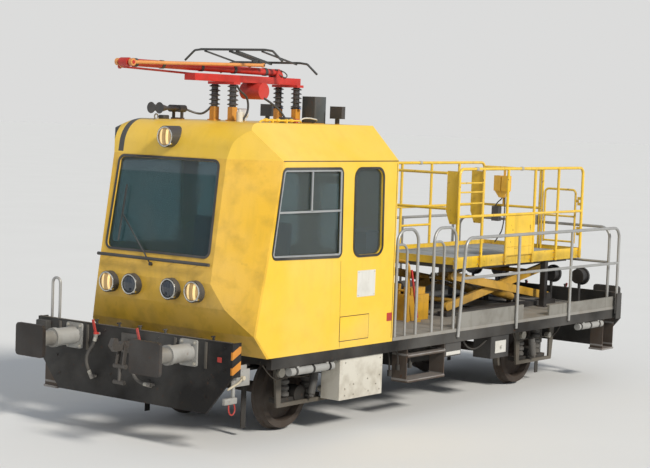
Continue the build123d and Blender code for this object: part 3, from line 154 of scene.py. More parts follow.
join(weathering, maths(weathering, "ADD", noise(weathering, place, 60, 3),
                       maths(weathering, "MULTIPLY", rusty, 0.6)), result["Height"])

# A band of colour between two corners, for pieces that carry more than one paint.
zone = bpy.data.node_groups.new("zone", "ShaderNodeTree")
for label in ("Coordinates", "Low", "High"):
    zone.interface.new_socket(label, in_out="INPUT", socket_type="NodeSocketVector")
zone.interface.new_socket("Mask", in_out="OUTPUT", socket_type="NodeSocketFloat")
given = add_node(zone, "NodeGroupInput").outputs
result = add_node(zone, "NodeGroupOutput").inputs
past = []
for first, second in (("Low", "Coordinates"), ("Coordinates", "High")):
    beyond = add_node(zone, "VectorMath", operation="SUBTRACT")
    join(zone, given[first], beyond.inputs[0])
    join(zone, given[second], beyond.inputs[1])
    past.append(beyond)
most = add_node(zone, "VectorMath", operation="MAXIMUM")
join(zone, past[0].outputs[0], most.inputs[0])
join(zone, past[1].outputs[0], most.inputs[1])
parts = add_node(zone, "SeparateXYZ")
join(zone, most.outputs[0], parts.inputs[0])
farthest = maths(zone, "MAXIMUM", parts.outputs[0], parts.outputs[1])
farthest = maths(zone, "MAXIMUM", farthest, parts.outputs[2])
join(zone, maths(zone, "LESS_THAN", farthest, 0.0), result["Mask"])


def within(tree, place, low, high):
    """1 between two corners and 0 outside them."""
    mask = add_node(tree, "Group", node_tree=zone)
    join(tree, place, mask.inputs["Coordinates"])
    mask.inputs["Low"].default_value = low
    mask.inputs["High"].default_value = high
    return mask.outputs["Mask"]


def weathered(name, paint, gloss=0.45, dirt=(0.09, 0.07, 0.05), dirtiness=0.5, streaks=0.3, rust=0.2,
              wear=0.3, metallic=0.0, coat=0.0, bump=0.12, zones=(), stripes_and_shadow_bands=None, specular=0.5):
    """A painted or bare metal with the shared weathering, and other paints inside some zones."""
    material = bpy.data.materials.new(name)
    material.use_nodes = True
    tree = material.node_tree
    shader = tree.nodes["Principled BSDF"]
    shader.inputs["Metallic"].default_value = metallic
    shader.inputs["Coat Weight"].default_value = coat
    shader.inputs["Coat Roughness"].default_value = 0.15
    shader.inputs["Specular IOR Level"].default_value = specular
    place = add_node(tree, "TexCoord").outputs["Object"]
    colour = tuple(paint) + (1,)
    for low, high, other in zones:
        colour = blend_colour(tree, within(tree, place, low, high), colour, tuple(other) + (1,))
    # Bands across a zone: real hazard stripes on the end plate, painted shadow on the cab's brow.
    if stripes_and_shadow_bands:
        low, high, other, way, width = stripes_and_shadow_bands
        mask = within(tree, place, low, high)
        along = add_node(tree, "VectorMath", operation="DOT_PRODUCT")
        join(tree, place, along.inputs[0])
        along.inputs[1].default_value = way
        turns = maths(tree, "FRACT", maths(tree, "DIVIDE", along.outputs["Value"], 2 * width))
        band = maths(tree, "MULTIPLY", maths(tree, "LESS_THAN", turns, 0.5), mask)
        colour = blend_colour(tree, band, colour, tuple(other) + (1,))
    weather = add_node(tree, "Group", node_tree=weathering)
    join(tree, place, weather.inputs["Coordinates"])
    if isinstance(colour, tuple):
        weather.inputs["Paint"].default_value = colour
    else:
        join(tree, colour, weather.inputs["Paint"])
    weather.inputs["Dirt"].default_value = tuple(dirt) + (1,)
    for label, value in (("Dirtiness", dirtiness), ("Streaks", streaks), ("Rust", rust), ("Wear", wear),
                         ("Gloss", gloss)):
        weather.inputs[label].default_value = value
    relief = add_node(tree, "Bump")
    relief.inputs["Strength"].default_value = bump
    relief.inputs["Distance"].default_value = 0.01
    join(tree, weather.outputs["Height"], relief.inputs["Height"])
    join(tree, weather.outputs["Colour"], shader.inputs["Base Color"])
    join(tree, weather.outputs["Roughness"], shader.inputs["Roughness"])
    join(tree, relief.outputs["Normal"], shader.inputs["Normal"])
    return material


# Main frame with its axle boxes, engine and rail guards: welded and bolted steel in black paint, under brown
# brake dust. The axle guards' plates and tie bars are the palest.


def dress(material, *names):
    """Paints CAD nodes."""
    for name in names:
        for slot in nodes[name].material_slots:
            slot.material = material


chassis_paint = weathered("chassis_paint", (0.010, 0.010, 0.010), 0.6, (0.042, 0.033, 0.024), 0.35, 0.15, 0.3,
                          0.4, specular=0.2)
guard_paint = weathered("guard_paint", (0.05, 0.046, 0.04), 0.6, (0.15, 0.128, 0.095), 0.6, 0.4, 0.35, 0.5,
                         specular=0.25)
dress(chassis_paint, "main_frame", "axle_boxes", "engine_block", "rail_guards")
dress(guard_paint, "axle_guards")

# Air reservoirs, fuel tank, battery and control boxes, hung under the frame: the reservoirs are grey steel
# tubes with closed ends, each held by three dark straps; the tank and the boxes are black sheet steel.
tank_paint = weathered(
    "tank_paint", (0.013, 0.013, 0.014), 0.5, (0.045, 0.037, 0.03), 0.35, 0.25, 0.25, 0.4, specular=0.25,
    zones=(((2.4, 1.3, 0.7), (3.3, 1.45, 0.9), (0.36, 0.36, 0.34)),
           ((-4.0, 1.3, 0.7), (-3.2, 1.45, 0.9), (0.36, 0.36, 0.34)),
           ((-1.5, -1.5, 0.4), (0.1, -0.8, 0.9), (0.07, 0.068, 0.06))))
dress(tank_paint, "boxes_and_reservoirs")
smooth_angle = radians(35)


def clear():
    bpy.ops.object.select_all(action="DESELECT")


def settle(name, material, body="vehicle"):
    """Fixes the shaped piece's place into its mesh, then names, smooths, paints and mounts it."""
    piece = bpy.context.object
    clear()
    piece.select_set(True)
    bpy.ops.object.transform_apply(location=True, rotation=True, scale=True)
    bpy.ops.object.shade_smooth_by_angle(angle=smooth_angle)
    piece.name = name
    piece.data.materials.clear()
    piece.data.materials.append(material)
    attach(piece, body)
    return piece


def rod(start, end, radius, sides=20, edge=0.3):
    """A bar between two points with its ends' edges broken."""
    clear()
    start, end = Vector(start), Vector(end)
    along = end - start
    bpy.ops.mesh.primitive_cylinder_add(vertices=sides, radius=radius, depth=along.length,
                                        location=(start + end) / 2,
                                        rotation=along.to_track_quat("Z", "Y").to_euler())
    piece = bpy.context.object
    bpy.ops.object.mode_set(mode="EDIT")
    bpy.ops.mesh.select_all(action="DESELECT")
    bpy.ops.object.mode_set(mode="OBJECT")
    for polygon in piece.data.polygons:
        polygon.select = len(polygon.vertices) > 4
    bpy.ops.object.mode_set(mode="EDIT")
    bpy.ops.mesh.select_mode(type="FACE")
    bpy.ops.mesh.inset(thickness=radius * edge)
    bpy.ops.object.mode_set(mode="OBJECT")
    return piece


def together(pieces):
    """Several shaped pieces as one mesh."""
    clear()
    for piece in pieces:
        piece.select_set(True)
    bpy.context.view_layer.objects.active = pieces[0]
    if len(pieces) > 1:
        bpy.ops.object.join()
    return bpy.context.object


strap_width, strap_thickness = 0.035, 0.004
reservoir_rows = ((1.385, 0.817, 0.048, (2.52, 2.82, 3.13, -3.85, -3.60, -3.33)),
                  (-1.33, 0.775, 0.09, (-3.8, -3.5, -3.3)))
together([rod((x, y, z), (x + strap_width, y, z), radius + strap_thickness, 32, 0.1)
          for y, z, radius, places in reservoir_rows for x in places])
settle("reservoir_straps", chassis_paint)

# Springs and dampers: coiled and turned steel, painted grey, dusty, standing between the axle boxes and the
# frame behind the guards.
spring_paint = weathered("spring_paint", (0.075, 0.075, 0.072), 0.5, (0.07, 0.058, 0.045), 0.6, 0.3, 0.3, 0.5)
dress(spring_paint, "suspension")

# Brake pipes and cables: thin steel pipe clipped along each left guard, and black cable hung from the frame
# behind the steps and boxes, down to small round valves.
pipe_route = ((1.95, 0.92), (2.02, 0.72), (2.2, 0.66), (2.35, 0.70), (2.6, 0.66), (2.9, 0.70), (3.1, 0.66),
              (3.3, 0.80), (3.4, 0.92))
guard_inside, guard_outside = 1.06, 1.088
pipe_radius, cable_radius = 0.007, 0.012


def bent_rod(points, radius, closed=False):
    """A round bar, tube or cable, bent smoothly between its points."""
    clear()
    bpy.ops.curve.primitive_nurbs_path_add()
    piece = bpy.context.object
    piece.data.splines.clear()
    line = piece.data.splines.new("NURBS")
    line.points.add(len(points) - 1)
    for point, place in zip(line.points, points):
        point.co = (*place, 1)
    line.order_u = 3
    line.use_endpoint_u = not closed
    line.use_cyclic_u = closed
    piece.data.bevel_depth = radius
    piece.data.bevel_resolution = 3
    piece.data.use_fill_caps = True
    piece.data.resolution_u = 6
    piece.location = (0, 0, 0)
    piece.select_set(True)
    bpy.ops.object.convert(target="MESH")
    return bpy.context.object


together([bent_rod([(end * x, guard_outside + 0.006, z) for x, z in pipe_route], pipe_radius)
          for end in (1, -1)])
settle("brake_pipes", guard_paint)
together([bent_rod(points, cable_radius) for points in (
    ((1.35, 1.30, 1.0), (1.26, 1.30, 0.96), (1.05, 1.30, 0.86), (1.01, 1.30, 0.78), (1.01, 1.30, 0.66)),
    ((1.42, 1.28, 1.0), (1.20, 1.28, 0.88), (1.16, 1.28, 0.72), (1.15, 1.28, 0.60)),
    ((1.0, 1.32, 1.0), (0.92, 1.32, 0.90), (0.80, 1.32, 0.80), (0.78, 1.32, 0.66)),
    ((-0.30, 1.33, 0.98), (-0.42, 1.33, 0.80), (-0.60, 1.33, 0.72), (-0.80, 1.33, 0.74),
     (-0.95, 1.33, 0.82)))]
    + [rod((x, y, z), (x, y, z + 0.07), 0.028) for x, y, z in (
        (1.01, 1.30, 0.61), (1.15, 1.28, 0.55), (0.78, 1.32, 0.62))])
settle("frame_cables", chassis_paint)

# Leaning dampers outside the left guards: a grey steel cylinder with a clamp band at each axle, held between
# two pins in the guard.
damper_y = 1.13
together([piece for end in (1, -1) for piece in (
    rod((end * 2.50, damper_y, 0.46), (end * 2.44, damper_y, 0.70), 0.046, 28, 0.15),
    rod((end * 2.505, damper_y, 0.43), (end * 2.50, damper_y, 0.48), 0.030, 20, 0.2),
    rod((end * 2.46, damper_y, 0.62), (end * 2.456, damper_y, 0.64), 0.052, 28, 0.1),
    rod((end * 2.50, guard_inside, 0.44), (end * 2.50, 1.16, 0.44), 0.018, 16, 0.3),
    rod((end * 2.44, guard_inside, 0.70), (end * 2.44, 1.16, 0.70), 0.018, 16, 0.3))])
settle("lever_dampers", spring_paint)

# Round caps and a filter pot on the left guards: turned steel, pale with zinc, screwed in from outside the
# guards.
zinc = weathered("zinc", (0.50, 0.48, 0.42), 0.45, (0.2, 0.17, 0.12), 0.4, 0.1, 0.25, 0.3, metallic=0.4)
together([rod((x, guard_inside, z), (x, 1.125, z), radius, 32, 0.25) for x, z, radius in (
    (3.037, 0.756, 0.055), (2.255, 0.49, 0.035), (-2.25, 0.756, 0.055), (-2.95, 0.70, 0.04))]
    + [rod((2.168, 1.12, 0.70), (2.168, 1.12, 0.80), 0.042, 24, 0.3)])
settle("gauges", zinc)

# Wheelsets: two rolled steel wheels pressed on each forged axle, unpainted, brown all over with rust and
# brake dust.
wheel_steel = weathered("wheel_steel", (0.04, 0.031, 0.026), 0.62, (0.075, 0.053, 0.038), 0.7, 0.0, 0.5, 0.4,
                        metallic=0.35)
dress(wheel_steel, "wheelset_front", "wheelset_rear")

# End plates: welded steel plate in black paint, chalky with dust, with an orange and black hazard band on
# the front plate's left return.
end_paint = weathered(
    "end_paint", (0.009, 0.009, 0.0095), 0.5, (0.045, 0.037, 0.028), 0.28, 0.2, 0.2, 0.6, specular=0.2,
    stripes_and_shadow_bands=((4.15, 1.468, 0.9), (4.345, 1.5, 1.2), (0.62, 0.24, 0.03), (0.5, 0, 1), 0.085))
dress(end_paint, "end_plates")

# Buffers: cast housings in light grey, scuffed, bolted to the end plates, and plungers with pale tubes and
# pressed heads, black with grease.
housing_paint = weathered("housing_paint", (0.36, 0.36, 0.34), 0.5, (0.16, 0.14, 0.11), 0.6, 0.35, 0.35, 0.5)
head_paint = weathered(
    "head_paint", (0.03, 0.027, 0.025), 0.42, (0.07, 0.05, 0.035), 0.4, 0.1, 0.3, 0.9, metallic=0.3,
    zones=(((4.6, -1.2, 0.9), (4.99, 1.2, 1.3), (0.30, 0.29, 0.26)),
           ((-4.99, -1.2, 0.9), (-4.6, 1.2, 1.3), (0.30, 0.29, 0.26))))
dress(housing_paint, "buffer_housings")
dress(head_paint, "buffer_plungers")


def bolt(size):
    """A hexagon head on its washer, standing on the origin and pointing up."""
    clear()
    bpy.ops.mesh.primitive_cylinder_add(vertices=20, radius=size * 0.95, depth=size * 0.22,
                                        location=(0, 0, size * 0.11))
    piece = bpy.context.object
    bpy.ops.object.transform_apply(location=True)
    bpy.ops.object.mode_set(mode="EDIT")
    bpy.ops.mesh.primitive_cylinder_add(vertices=6, radius=size * 0.72, depth=size * 0.6,
                                        location=(0, 0, size * 0.5))
    bpy.ops.mesh.bevel(offset=size * 0.07, segments=1)
    bpy.ops.object.mode_set(mode="OBJECT")
    return piece


def repeat(pattern, places, way):
    """Copies of a small piece at places, pointing one way, joined as one."""
    turn = Vector(way).to_track_quat("Z", "Y").to_matrix().to_4x4()
    copies = []
    for spot in places:
        twin = pattern.copy()
        twin.data = pattern.data.copy()
        twin.data.transform(Matrix.Translation(spot) @ turn)
        bpy.context.collection.objects.link(twin)
        copies.append(twin)
    bpy.data.objects.remove(pattern, do_unlink=True)
    return together(copies)


buffer_y, buffer_z = 0.875, 1.08
plate_face, buffer_base = 4.34, 0.024
for end, label in ((1, "front"), (-1, "rear")):
    spots = [(end * (plate_face + buffer_base), side * buffer_y + dy, buffer_z + dz)
             for side in (1, -1) for dy in (-0.095, 0.095) for dz in (-0.115, 0.115)]
    repeat(bolt(0.022), spots, (end, 0, 0))
    settle(f"buffer_bolts_{label}", zinc)

# End plate fittings: strip brackets beside the buffers, small red plates, a socket box, air valves along
# the top edge, and scattered bolt heads, all the same at both ends.
plate_red = weathered("plate_red", (0.45, 0.03, 0.02), 0.45, (0.12, 0.06, 0.04), 0.4, 0.2, 0.1, 0.3)


def slab(low, high, edge=0.004, segments=2):
    """A plate or box between two corners with its edges broken."""
    clear()
    low, high = Vector(low), Vector(high)
    bpy.ops.mesh.primitive_cube_add(size=1, location=(low + high) / 2)
    piece = bpy.context.object
    piece.scale = high - low
    bpy.ops.object.transform_apply(location=False, rotation=False, scale=True)
    bpy.ops.object.mode_set(mode="EDIT")
    bpy.ops.mesh.select_all(action="SELECT")
    bpy.ops.mesh.bevel(offset=edge, segments=segments)
    bpy.ops.object.mode_set(mode="OBJECT")
    return piece


def end_slab(end, low, high, edge=0.004, segments=2):
    """A slab on one end, from distances ahead of its plate and widths across it."""
    xs = sorted((end * (plate_face + low[0]), end * (plate_face + high[0])))
    ys = sorted((end * low[1], end * high[1]))
    return slab((xs[0], ys[0], low[2]), (xs[1], ys[1], high[2]), edge, segments)


valve_ys = (-0.55, -0.20, 0.12, 0.50, 1.20)
for end, label in ((1, "front"), (-1, "rear")):
    repeat(bolt(0.016), [(end * plate_face, end * y, z) for y, z in (
        (-1.38, 0.95), (-1.38, 1.18), (-1.16, 0.82), (-1.12, 0.62), (-0.62, 0.92), (-0.40, 1.19),
        (-0.30, 0.70), (0.30, 0.70), (0.42, 1.19), (0.62, 0.92), (1.12, 0.62), (1.16, 0.82), (1.38, 0.95),
        (1.38, 1.18))], (end, 0, 0))
    settle(f"plate_bolts_{label}", end_paint)
    together([end_slab(end, (0, y, 0.93), (0.014, y + 0.035, 1.22)) for y in (0.655, -0.69, 1.10, -1.135)]
             + [end_slab(end, (-0.03, -1.47, 1.238), (0.004, 1.47, 1.246), 0.002, 1)])
    settle(f"strip_brackets_{label}", guard_paint)
    together([end_slab(end, (0, y, z), (0.006, y + wide, z + 0.055), 0.002, 1) for y, z, wide in (
        (-0.30, 1.03, 0.07), (0.34, 0.98, 0.07), (1.28, 1.02, 0.06))])
    settle(f"small_plates_{label}", plate_red)
    together([end_slab(end, (0, -1.44, 1.06), (0.09, -1.27, 1.21), 0.012, 3),
              end_slab(end, (0.09, -1.425, 1.075), (0.10, -1.285, 1.195))]
             + [rod((end * 4.322, end * y, 1.235), (end * 4.322, end * y, 1.29), 0.013) for y in valve_ys]
             + [rod((end * 4.30, end * y, 1.285), (end * 4.355, end * y, 1.285), 0.009) for y in valve_ys])
    settle(f"end_valves_{label}", end_paint)

# Left front corner: a pressed grey bracket plate under the side sill with a pale yellow lever before it, and
# a clamp with a red loop below.
cream = weathered("cream", (0.62, 0.55, 0.40), 0.5, (0.2, 0.16, 0.11), 0.5, 0.2, 0.3, 0.5)
together([slab((3.965, 1.405, 0.752), (4.262, 1.425, 0.935), 0.006),
          slab((4.02, 1.405, 0.93), (4.21, 1.425, 0.982), 0.006),
          slab((4.19, 1.40, 0.575), (4.39, 1.45, 0.645), 0.012, 3),
          slab((4.21, 1.40, 0.64), (4.25, 1.43, 0.90), 0.004)])
settle("corner_bracket", housing_paint)
together([bent_rod(((4.10, 1.44, 0.844), (4.16, 1.445, 0.80), (4.25, 1.445, 0.775), (4.346, 1.44, 0.739)),
                   0.012), rod((4.10, 1.42, 0.844), (4.10, 1.46, 0.844), 0.024)])
settle("corner_lever", cream)
bent_rod(((4.24, 1.43, 0.60), (4.20, 1.44, 0.52), (4.26, 1.44, 0.445), (4.33, 1.44, 0.50),
          (4.31, 1.43, 0.60)), 0.008)
settle("corner_loop", plate_red)

# Draw gear: a forged hook through each end plate and the screw coupling that hangs in it, both in greasy
# dark steel.
forged_steel = weathered("forged_steel", (0.13, 0.12, 0.11), 0.4, (0.05, 0.04, 0.03), 0.6, 0.1, 0.45, 0.6,
                         metallic=0.6)
dress(forged_steel, "draw_gear")

# Brake cocks and hose holders: cast bodies screwed to the end plates, the cocks with red handles.
cock_paint = weathered("cock_paint", (0.32, 0.30, 0.27), 0.45, (0.10, 0.08, 0.06), 0.5, 0.2, 0.3, 0.4,
                       metallic=0.3, zones=(((4.36, -0.6, 1.135), (4.5, 0.6, 1.4), (0.62, 0.03, 0.02)),
                                            ((-4.5, -0.6, 1.135), (-4.36, 0.6, 1.4), (0.62, 0.03, 0.02))))
dress(cock_paint, "end_cocks")

# Brake hoses: black rubber hose with a steel collar crimped on each end, hanging in a bow from each cock
# to its holder.
rubber = weathered("rubber", (0.03, 0.029, 0.028), 0.6, (0.13, 0.115, 0.095), 0.7, 0.1, 0.0, 0.0)
hose_diameter = 0.036
cock_reach = 0.062
collar_length, collar_wall, collar_edge = 0.05, 0.004, 0.0015
hose_routes = {
    "right": ((-0.490, 1.105, 0), (-0.513, 1.018, 0.006), (-0.575, 0.939, 0.024), (-0.601, 0.843, 0.034),
              (-0.583, 0.744, 0.022), (-0.550, 0.672, 0.004)),
    "middle": ((0.195, 1.078, 0), (0.172, 0.991, 0.006), (0.119, 0.906, 0.020), (0.110, 0.807, 0.028),
               (0.155, 0.718, 0.022), (0.242, 0.668, 0.010), (0.332, 0.664, 0.004))}
hoses = (("hose_front_right", 1, "right"), ("hose_front_middle", 1, "middle"),
         ("hose_rear_left", -1, "right"), ("hose_rear_middle", -1, "middle"))
for node, end, way in hoses:
    points = [Vector((end * (plate_face + cock_reach + out), end * y, z)) for y, z, out in hose_routes[way]]
    line = bpy.data.curves.new(node + "_rubber", "CURVE")
    line.dimensions = "3D"
    line.bevel_depth = hose_diameter / 2
    line.bevel_resolution = 6
    line.resolution_u = 12
    line.use_fill_caps = True
    route = line.splines.new("NURBS")
    route.points.add(len(points) - 1)
    for point, spot in zip(route.points, points):
        point.co = (*spot, 1)
    route.order_u = 3
    route.use_endpoint_u = True
    hose = bpy.data.objects.new(node + "_rubber", line)
    bpy.context.collection.objects.link(hose)
    line.materials.append(rubber)
    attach(hose, "vehicle")
    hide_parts(node)
    for index, (spot, ahead) in enumerate(((points[0], points[1]), (points[-1], points[-2]))):
        reach = (ahead - spot).normalized()
        rod(spot, spot + reach * collar_length, hose_diameter / 2 + collar_wall, 20)
        bpy.ops.object.mode_set(mode="EDIT")
        bpy.ops.mesh.select_all(action="SELECT")
        bpy.ops.mesh.bevel(offset=collar_edge, segments=1)
        bpy.ops.object.mode_set(mode="OBJECT")
        settle(f"{node}_collar_{index + 1}", zinc)

# Equipment box: a welded sheet steel cupboard hung under the cab, painted white, now streaked and stained at
# its foot, with bolt heads over its lid.
box_paint = weathered("box_paint", (0.70, 0.68, 0.60), 0.5, (0.24, 0.20, 0.14), 0.62, 0.35, 0.3, 0.5)
dress(box_paint, "equipment_box")
box_low, box_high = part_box("equipment_box")
spots = [(x, box_high.y, z) for x, z in (
    (box_low.x + 0.06, box_high.z - 0.05), (box_high.x - 0.10, box_high.z - 0.05), (box_low.x + 0.06, 0.62),
    (box_low.x + 0.13, 0.52), (box_low.x + 0.06, 0.45), (box_low.x + 0.30, 0.60), (box_high.x - 0.10, 0.52),
    (box_high.x - 0.27, 0.56), (box_high.x - 0.10, 0.44), (box_high.x - 0.27, 0.44),
    (box_low.x + 0.28, 0.45))]
repeat(bolt(0.011), spots, (0, 1, 0))
settle("box_bolts", zinc)

# Blank plates: a white enamelled plate with a knob, screwed to the control box, and a pale cover on the
# battery box.
plate_back, plate_front = 1.398, 1.405
label_white = weathered("label_white", (0.66, 0.65, 0.60), 0.4, (0.2, 0.17, 0.12), 0.4, 0.2, 0.15, 0.3)
together([slab((-1.32, plate_back, 0.64), (-1.06, plate_front, 0.80), 0.002, 1),
          slab((-0.22, plate_back, 0.715), (0.10, 1.404, 0.76), 0.002, 1),
          rod((-1.19, 1.40, 0.72), (-1.19, 1.43, 0.72), 0.02)])
settle("box_plates", label_white)

# Steps: folded steel treads, walked pale, welded between rusty cheeks. Each tread's height is a band of the
# paler steel.
tread_steel = weathered(
    "tread_steel", (0.05, 0.042, 0.036), 0.5, (0.10, 0.06, 0.035), 0.6, 0.4, 0.5, 0.7, metallic=0.2,
    specular=0.3, zones=[((-5, -1.5, low), (5, 1.5, high), (0.34, 0.34, 0.33))
                         for low, high in ((0.418, 0.447), (0.478, 0.503), (0.788, 0.813))])
dress(tread_steel, "steps")

# Deck: steel floor plates, bare and pale where feet and weather have taken the paint, and weathered boards
# standing along its sides.
deck_plate = weathered("deck_plate", (0.24, 0.235, 0.215), 0.55, (0.20, 0.17, 0.13), 0.6, 0.2, 0.35, 0.4)
board_paint = weathered("board_paint", (0.22, 0.215, 0.19), 0.65, (0.10, 0.082, 0.062), 0.6, 0.5, 0.15, 0.3)
dress(deck_plate, "deck_floor")
dress(board_paint, "side_boards")

# Deck railings and the landing's handrail loops: bent steel tube, welded and dipped in zinc, now dull and
# dusty.
galvanised = weathered("galvanised", (0.40, 0.40, 0.385), 0.42, (0.17, 0.15, 0.12), 0.4, 0.15, 0.15, 0.3,
                       metallic=0.45)
dress(galvanised, "deck_railings", "handrail_loops")

# Rear lamps: two pairs of steel bowls in black paint, on short stands bolted to the rear end of the deck.
# Their glass comes with that of the work lights.
lamp_black = weathered("lamp_black", (0.018, 0.018, 0.02), 0.4, (0.07, 0.06, 0.05), 0.4, 0.15, 0.05, 0.2)
dress(lamp_black, "rear_lamps")

# Cab: welded sheet steel in traffic yellow, glossy on its sides. Its front is a darker copy of the yellow,
# dulled by grime and darker still towards the bottom, partly grime and partly painted shade. The two black
# bands carried over the right end of the brow are painted shadows cast by the pantograph.
# The cab's paint carries the brow's two black bands, painted shadows cast by the pantograph.
cab_paint_and_shadow_bands = weathered(
    "cab_paint_and_shadow_bands", (0.85, 0.54, 0.03), 0.34, (0.22, 0.13, 0.04), 0.14, 0.08, 0.06, 0.2, coat=0.25,
    stripes_and_shadow_bands=((3.25, -0.98, 3.19), (3.95, -0.70, 3.75), (0.01, 0.01, 0.01), (0, 1, 0), 0.08))
# The front's darker yellow and heavy dark dirt are partly grime and partly painted shade.
front_paint_and_shade = weathered("front_paint_and_shade", (0.80, 0.47, 0.025), 0.40, (0.05, 0.028, 0.01), 0.42, 0.12, 0.1, 0.3,
                        coat=0.1)
dress(cab_paint_and_shadow_bands, "cab_side_left", "cab_side_right", "cab_roof", "cab_rear_wall", "cab_door")
dress(front_paint_and_shade, "cab_front")

# Left side of the cab: a steel lid low on the panel, a welded seam, a blank enamelled notice plate with four
# screws, a small red plate, and the dark sealed fold under the roof.
side_back, side_front = 1.414, 1.424
slab((1.821, side_back, 1.093), (2.376, 1.425, 1.369), 0.003)
settle("side_lid", cab_paint_and_shadow_bands)
dark_gap = weathered("dark_gap", (0.10, 0.05, 0.012), 0.6, (0.05, 0.035, 0.02), 0.5, 0.2, 0.0, 0.0)
together([rod((2.40, 1.419, 2.025), (2.37, 1.419, 1.02), 0.003, 8),
          rod((1.33, 1.419, 3.168), (3.50, 1.419, 3.168), 0.006, 8),
          slab((1.812, 1.41, 1.084), (2.385, 1.4215, 1.378), 0.001, 1),
          rod((1.345, 1.419, 1.05), (1.345, 1.419, 3.14), 0.004, 8)])
settle("side_seams", dark_gap)
slab((1.715, side_back, 1.584), (2.068, side_front, 1.893), 0.002, 1)
settle("notice_plate", label_white)
repeat(bolt(0.007), [(x, side_front, z) for x in (1.735, 2.048) for z in (1.604, 1.873)], (0, 1, 0))
settle("notice_screws", zinc)
slab((1.35, side_back, 1.257), (1.451, side_front, 1.356), 0.002, 1)
settle("red_plate", plate_red)

# Rear door handle: a bent steel bar dipped in zinc, screwed to the outer face of the door above its round
# lock plate.
door_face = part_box("cab_door")[0].x
handle_y = 0.24
together([bent_rod([(door_face - out, handle_y, z) for out, z in (
    (-0.004, 1.92), (0.045, 1.92), (0.05, 2.0), (0.045, 2.10), (-0.004, 2.10))], 0.011),
          rod((door_face + 0.004, handle_y, 1.84), (door_face - 0.012, handle_y, 1.84), 0.028)])
settle("door_handle", zinc, body="cab_door")

# Cab inside: the floor, desk and seats that show through the glass, all under a dark blue covering, dull
# with use.
lining = weathered("lining", (0.03, 0.075, 0.17), 0.6, (0.05, 0.055, 0.06), 0.3, 0.0, 0.0, 0.0)
dress(lining, "cab_floor", "cab_furniture")

# Windows: flat tinted safety glass held in black rubber, dusty. The bar under the windscreen and the wiper
# are black too.


def glazing(name, tint, roughness=0.04, weight=0.9):
    """Tinted glass with a film of dust; the windscreen is bluer, a painted reflection of the sky, with a
    paler band at its top.
    """
    material = bpy.data.materials.new(name)
    material.use_nodes = True
    tree = material.node_tree
    shader = tree.nodes["Principled BSDF"]
    shader.inputs["Transmission Weight"].default_value = weight
    shader.inputs["IOR"].default_value = 1.45
    place = add_node(tree, "TexCoord").outputs["Object"]
    film = maths(tree, "MULTIPLY", span(tree, noise(tree, place, 2.5, 7), 0.4, 0.75), 0.28)
    # The windscreen's bluer colour is a painted reflection of the sky.
    windscreen = within(tree, place, (3.55, -1.0, 2.0), (4.2, 0.86, 3.3))
    tint_and_sky_reflection = blend_colour(tree, windscreen, tuple(tint) + (1,), (0.15, 0.27, 0.29, 1))
    top_band = within(tree, place, (3.55, -1.0, 2.98), (4.2, 0.86, 3.3))
    tint_and_sky_reflection = blend_colour(tree, top_band, tint_and_sky_reflection, (0.30, 0.38, 0.42, 1))
    colour = blend_colour(tree, film, tint_and_sky_reflection, (0.30, 0.32, 0.3, 1))
    join(tree, colour, shader.inputs["Base Color"])
    join(tree, maths(tree, "ADD", maths(tree, "MULTIPLY", film, 0.6), roughness), shader.inputs["Roughness"])
    return material


window_glass = glazing("window_glass", (0.25, 0.33, 0.34))
dress(window_glass, "cab_glass", "door_glass")
seal_rubber = weathered("seal_rubber", (0.012, 0.012, 0.012), 0.5, (0.06, 0.055, 0.05), 0.4, 0.1, 0.0, 0.0)
dress(seal_rubber, "window_seals", "bar_and_wiper")

# Side window frame: drawn aluminium set inside the rubber, with a middle bar, and above it an upright that
# parts the sliding panes.
aluminium = weathered("aluminium", (0.52, 0.53, 0.52), 0.32, (0.2, 0.18, 0.15), 0.3, 0.1, 0.0, 0.1,
                      metallic=0.7)


def rim(corners, turn, radius):
    """A closed frame of round bar through corners, each rounded from turn before it to turn after it."""
    corners = [Vector(corner) for corner in corners]
    points = []
    for last, corner, following in zip(corners[-1:] + corners[:-1], corners, corners[1:] + corners[:1]):
        points += [corner + (last - corner).normalized() * turn, corner,
                   corner + (following - corner).normalized() * turn]
    return bent_rod(points, radius, closed=True)


glass_y = 1.418
together([rim([(x, glass_y, z) for x, z in ((2.425, 2.10), (3.635, 2.122), (3.478, 3.062), (2.445, 3.062))],
              0.075, 0.013),
          slab((2.43, glass_y - 0.012, 2.592), (3.565, glass_y + 0.008, 2.617), 0.004),
          slab((2.962, glass_y - 0.012, 2.60), (2.988, glass_y + 0.008, 3.06), 0.004)])
settle("side_window_frame", aluminium)

# Front lamps: black bowls with chromed rims and a clip. The outer pair and the brow lamp show warm
# reflectors, lit in two patches; the inner pair is dark glass, its two paler patches a painted reflection.
dress(lamp_black, "front_lamps")


def ring(centre, way, radius, thickness):
    """A round rim or band about a line."""
    clear()
    bpy.ops.mesh.primitive_torus_add(major_radius=radius, minor_radius=thickness, major_segments=40,
                                     minor_segments=10, location=centre,
                                     rotation=Vector(way).to_track_quat("Z", "Y").to_euler())
    return bpy.context.object


def dome(centre, way, radius, height):
    """A bulged lens or cap, closed at its back."""
    clear()
    bpy.ops.mesh.primitive_uv_sphere_add(segments=32, ring_count=16, radius=radius)
    piece = bpy.context.object
    bpy.ops.object.mode_set(mode="EDIT")
    bpy.ops.mesh.select_all(action="SELECT")
    bpy.ops.mesh.bisect(plane_co=(0, 0, 0), plane_no=(0, 0, 1), clear_inner=True, use_fill=True)
    bpy.ops.object.mode_set(mode="OBJECT")
    piece.scale = (1, 1, height / radius)
    piece.rotation_euler = Vector(way).to_track_quat("Z", "Y").to_euler()
    piece.location = centre
    return piece


outer_y, inner_y, lamp_x, lamp_z = 0.654, 0.297, 4.088, 1.70
lamp_spots = {"outer": ((lamp_x, outer_y, lamp_z), (lamp_x, -outer_y, lamp_z)),
              "inner": ((lamp_x, inner_y, lamp_z), (lamp_x, -inner_y, lamp_z)),
              "brow": ((3.888, 0, 3.383),)}
patch_y, patch_half = 0.045, 0.016


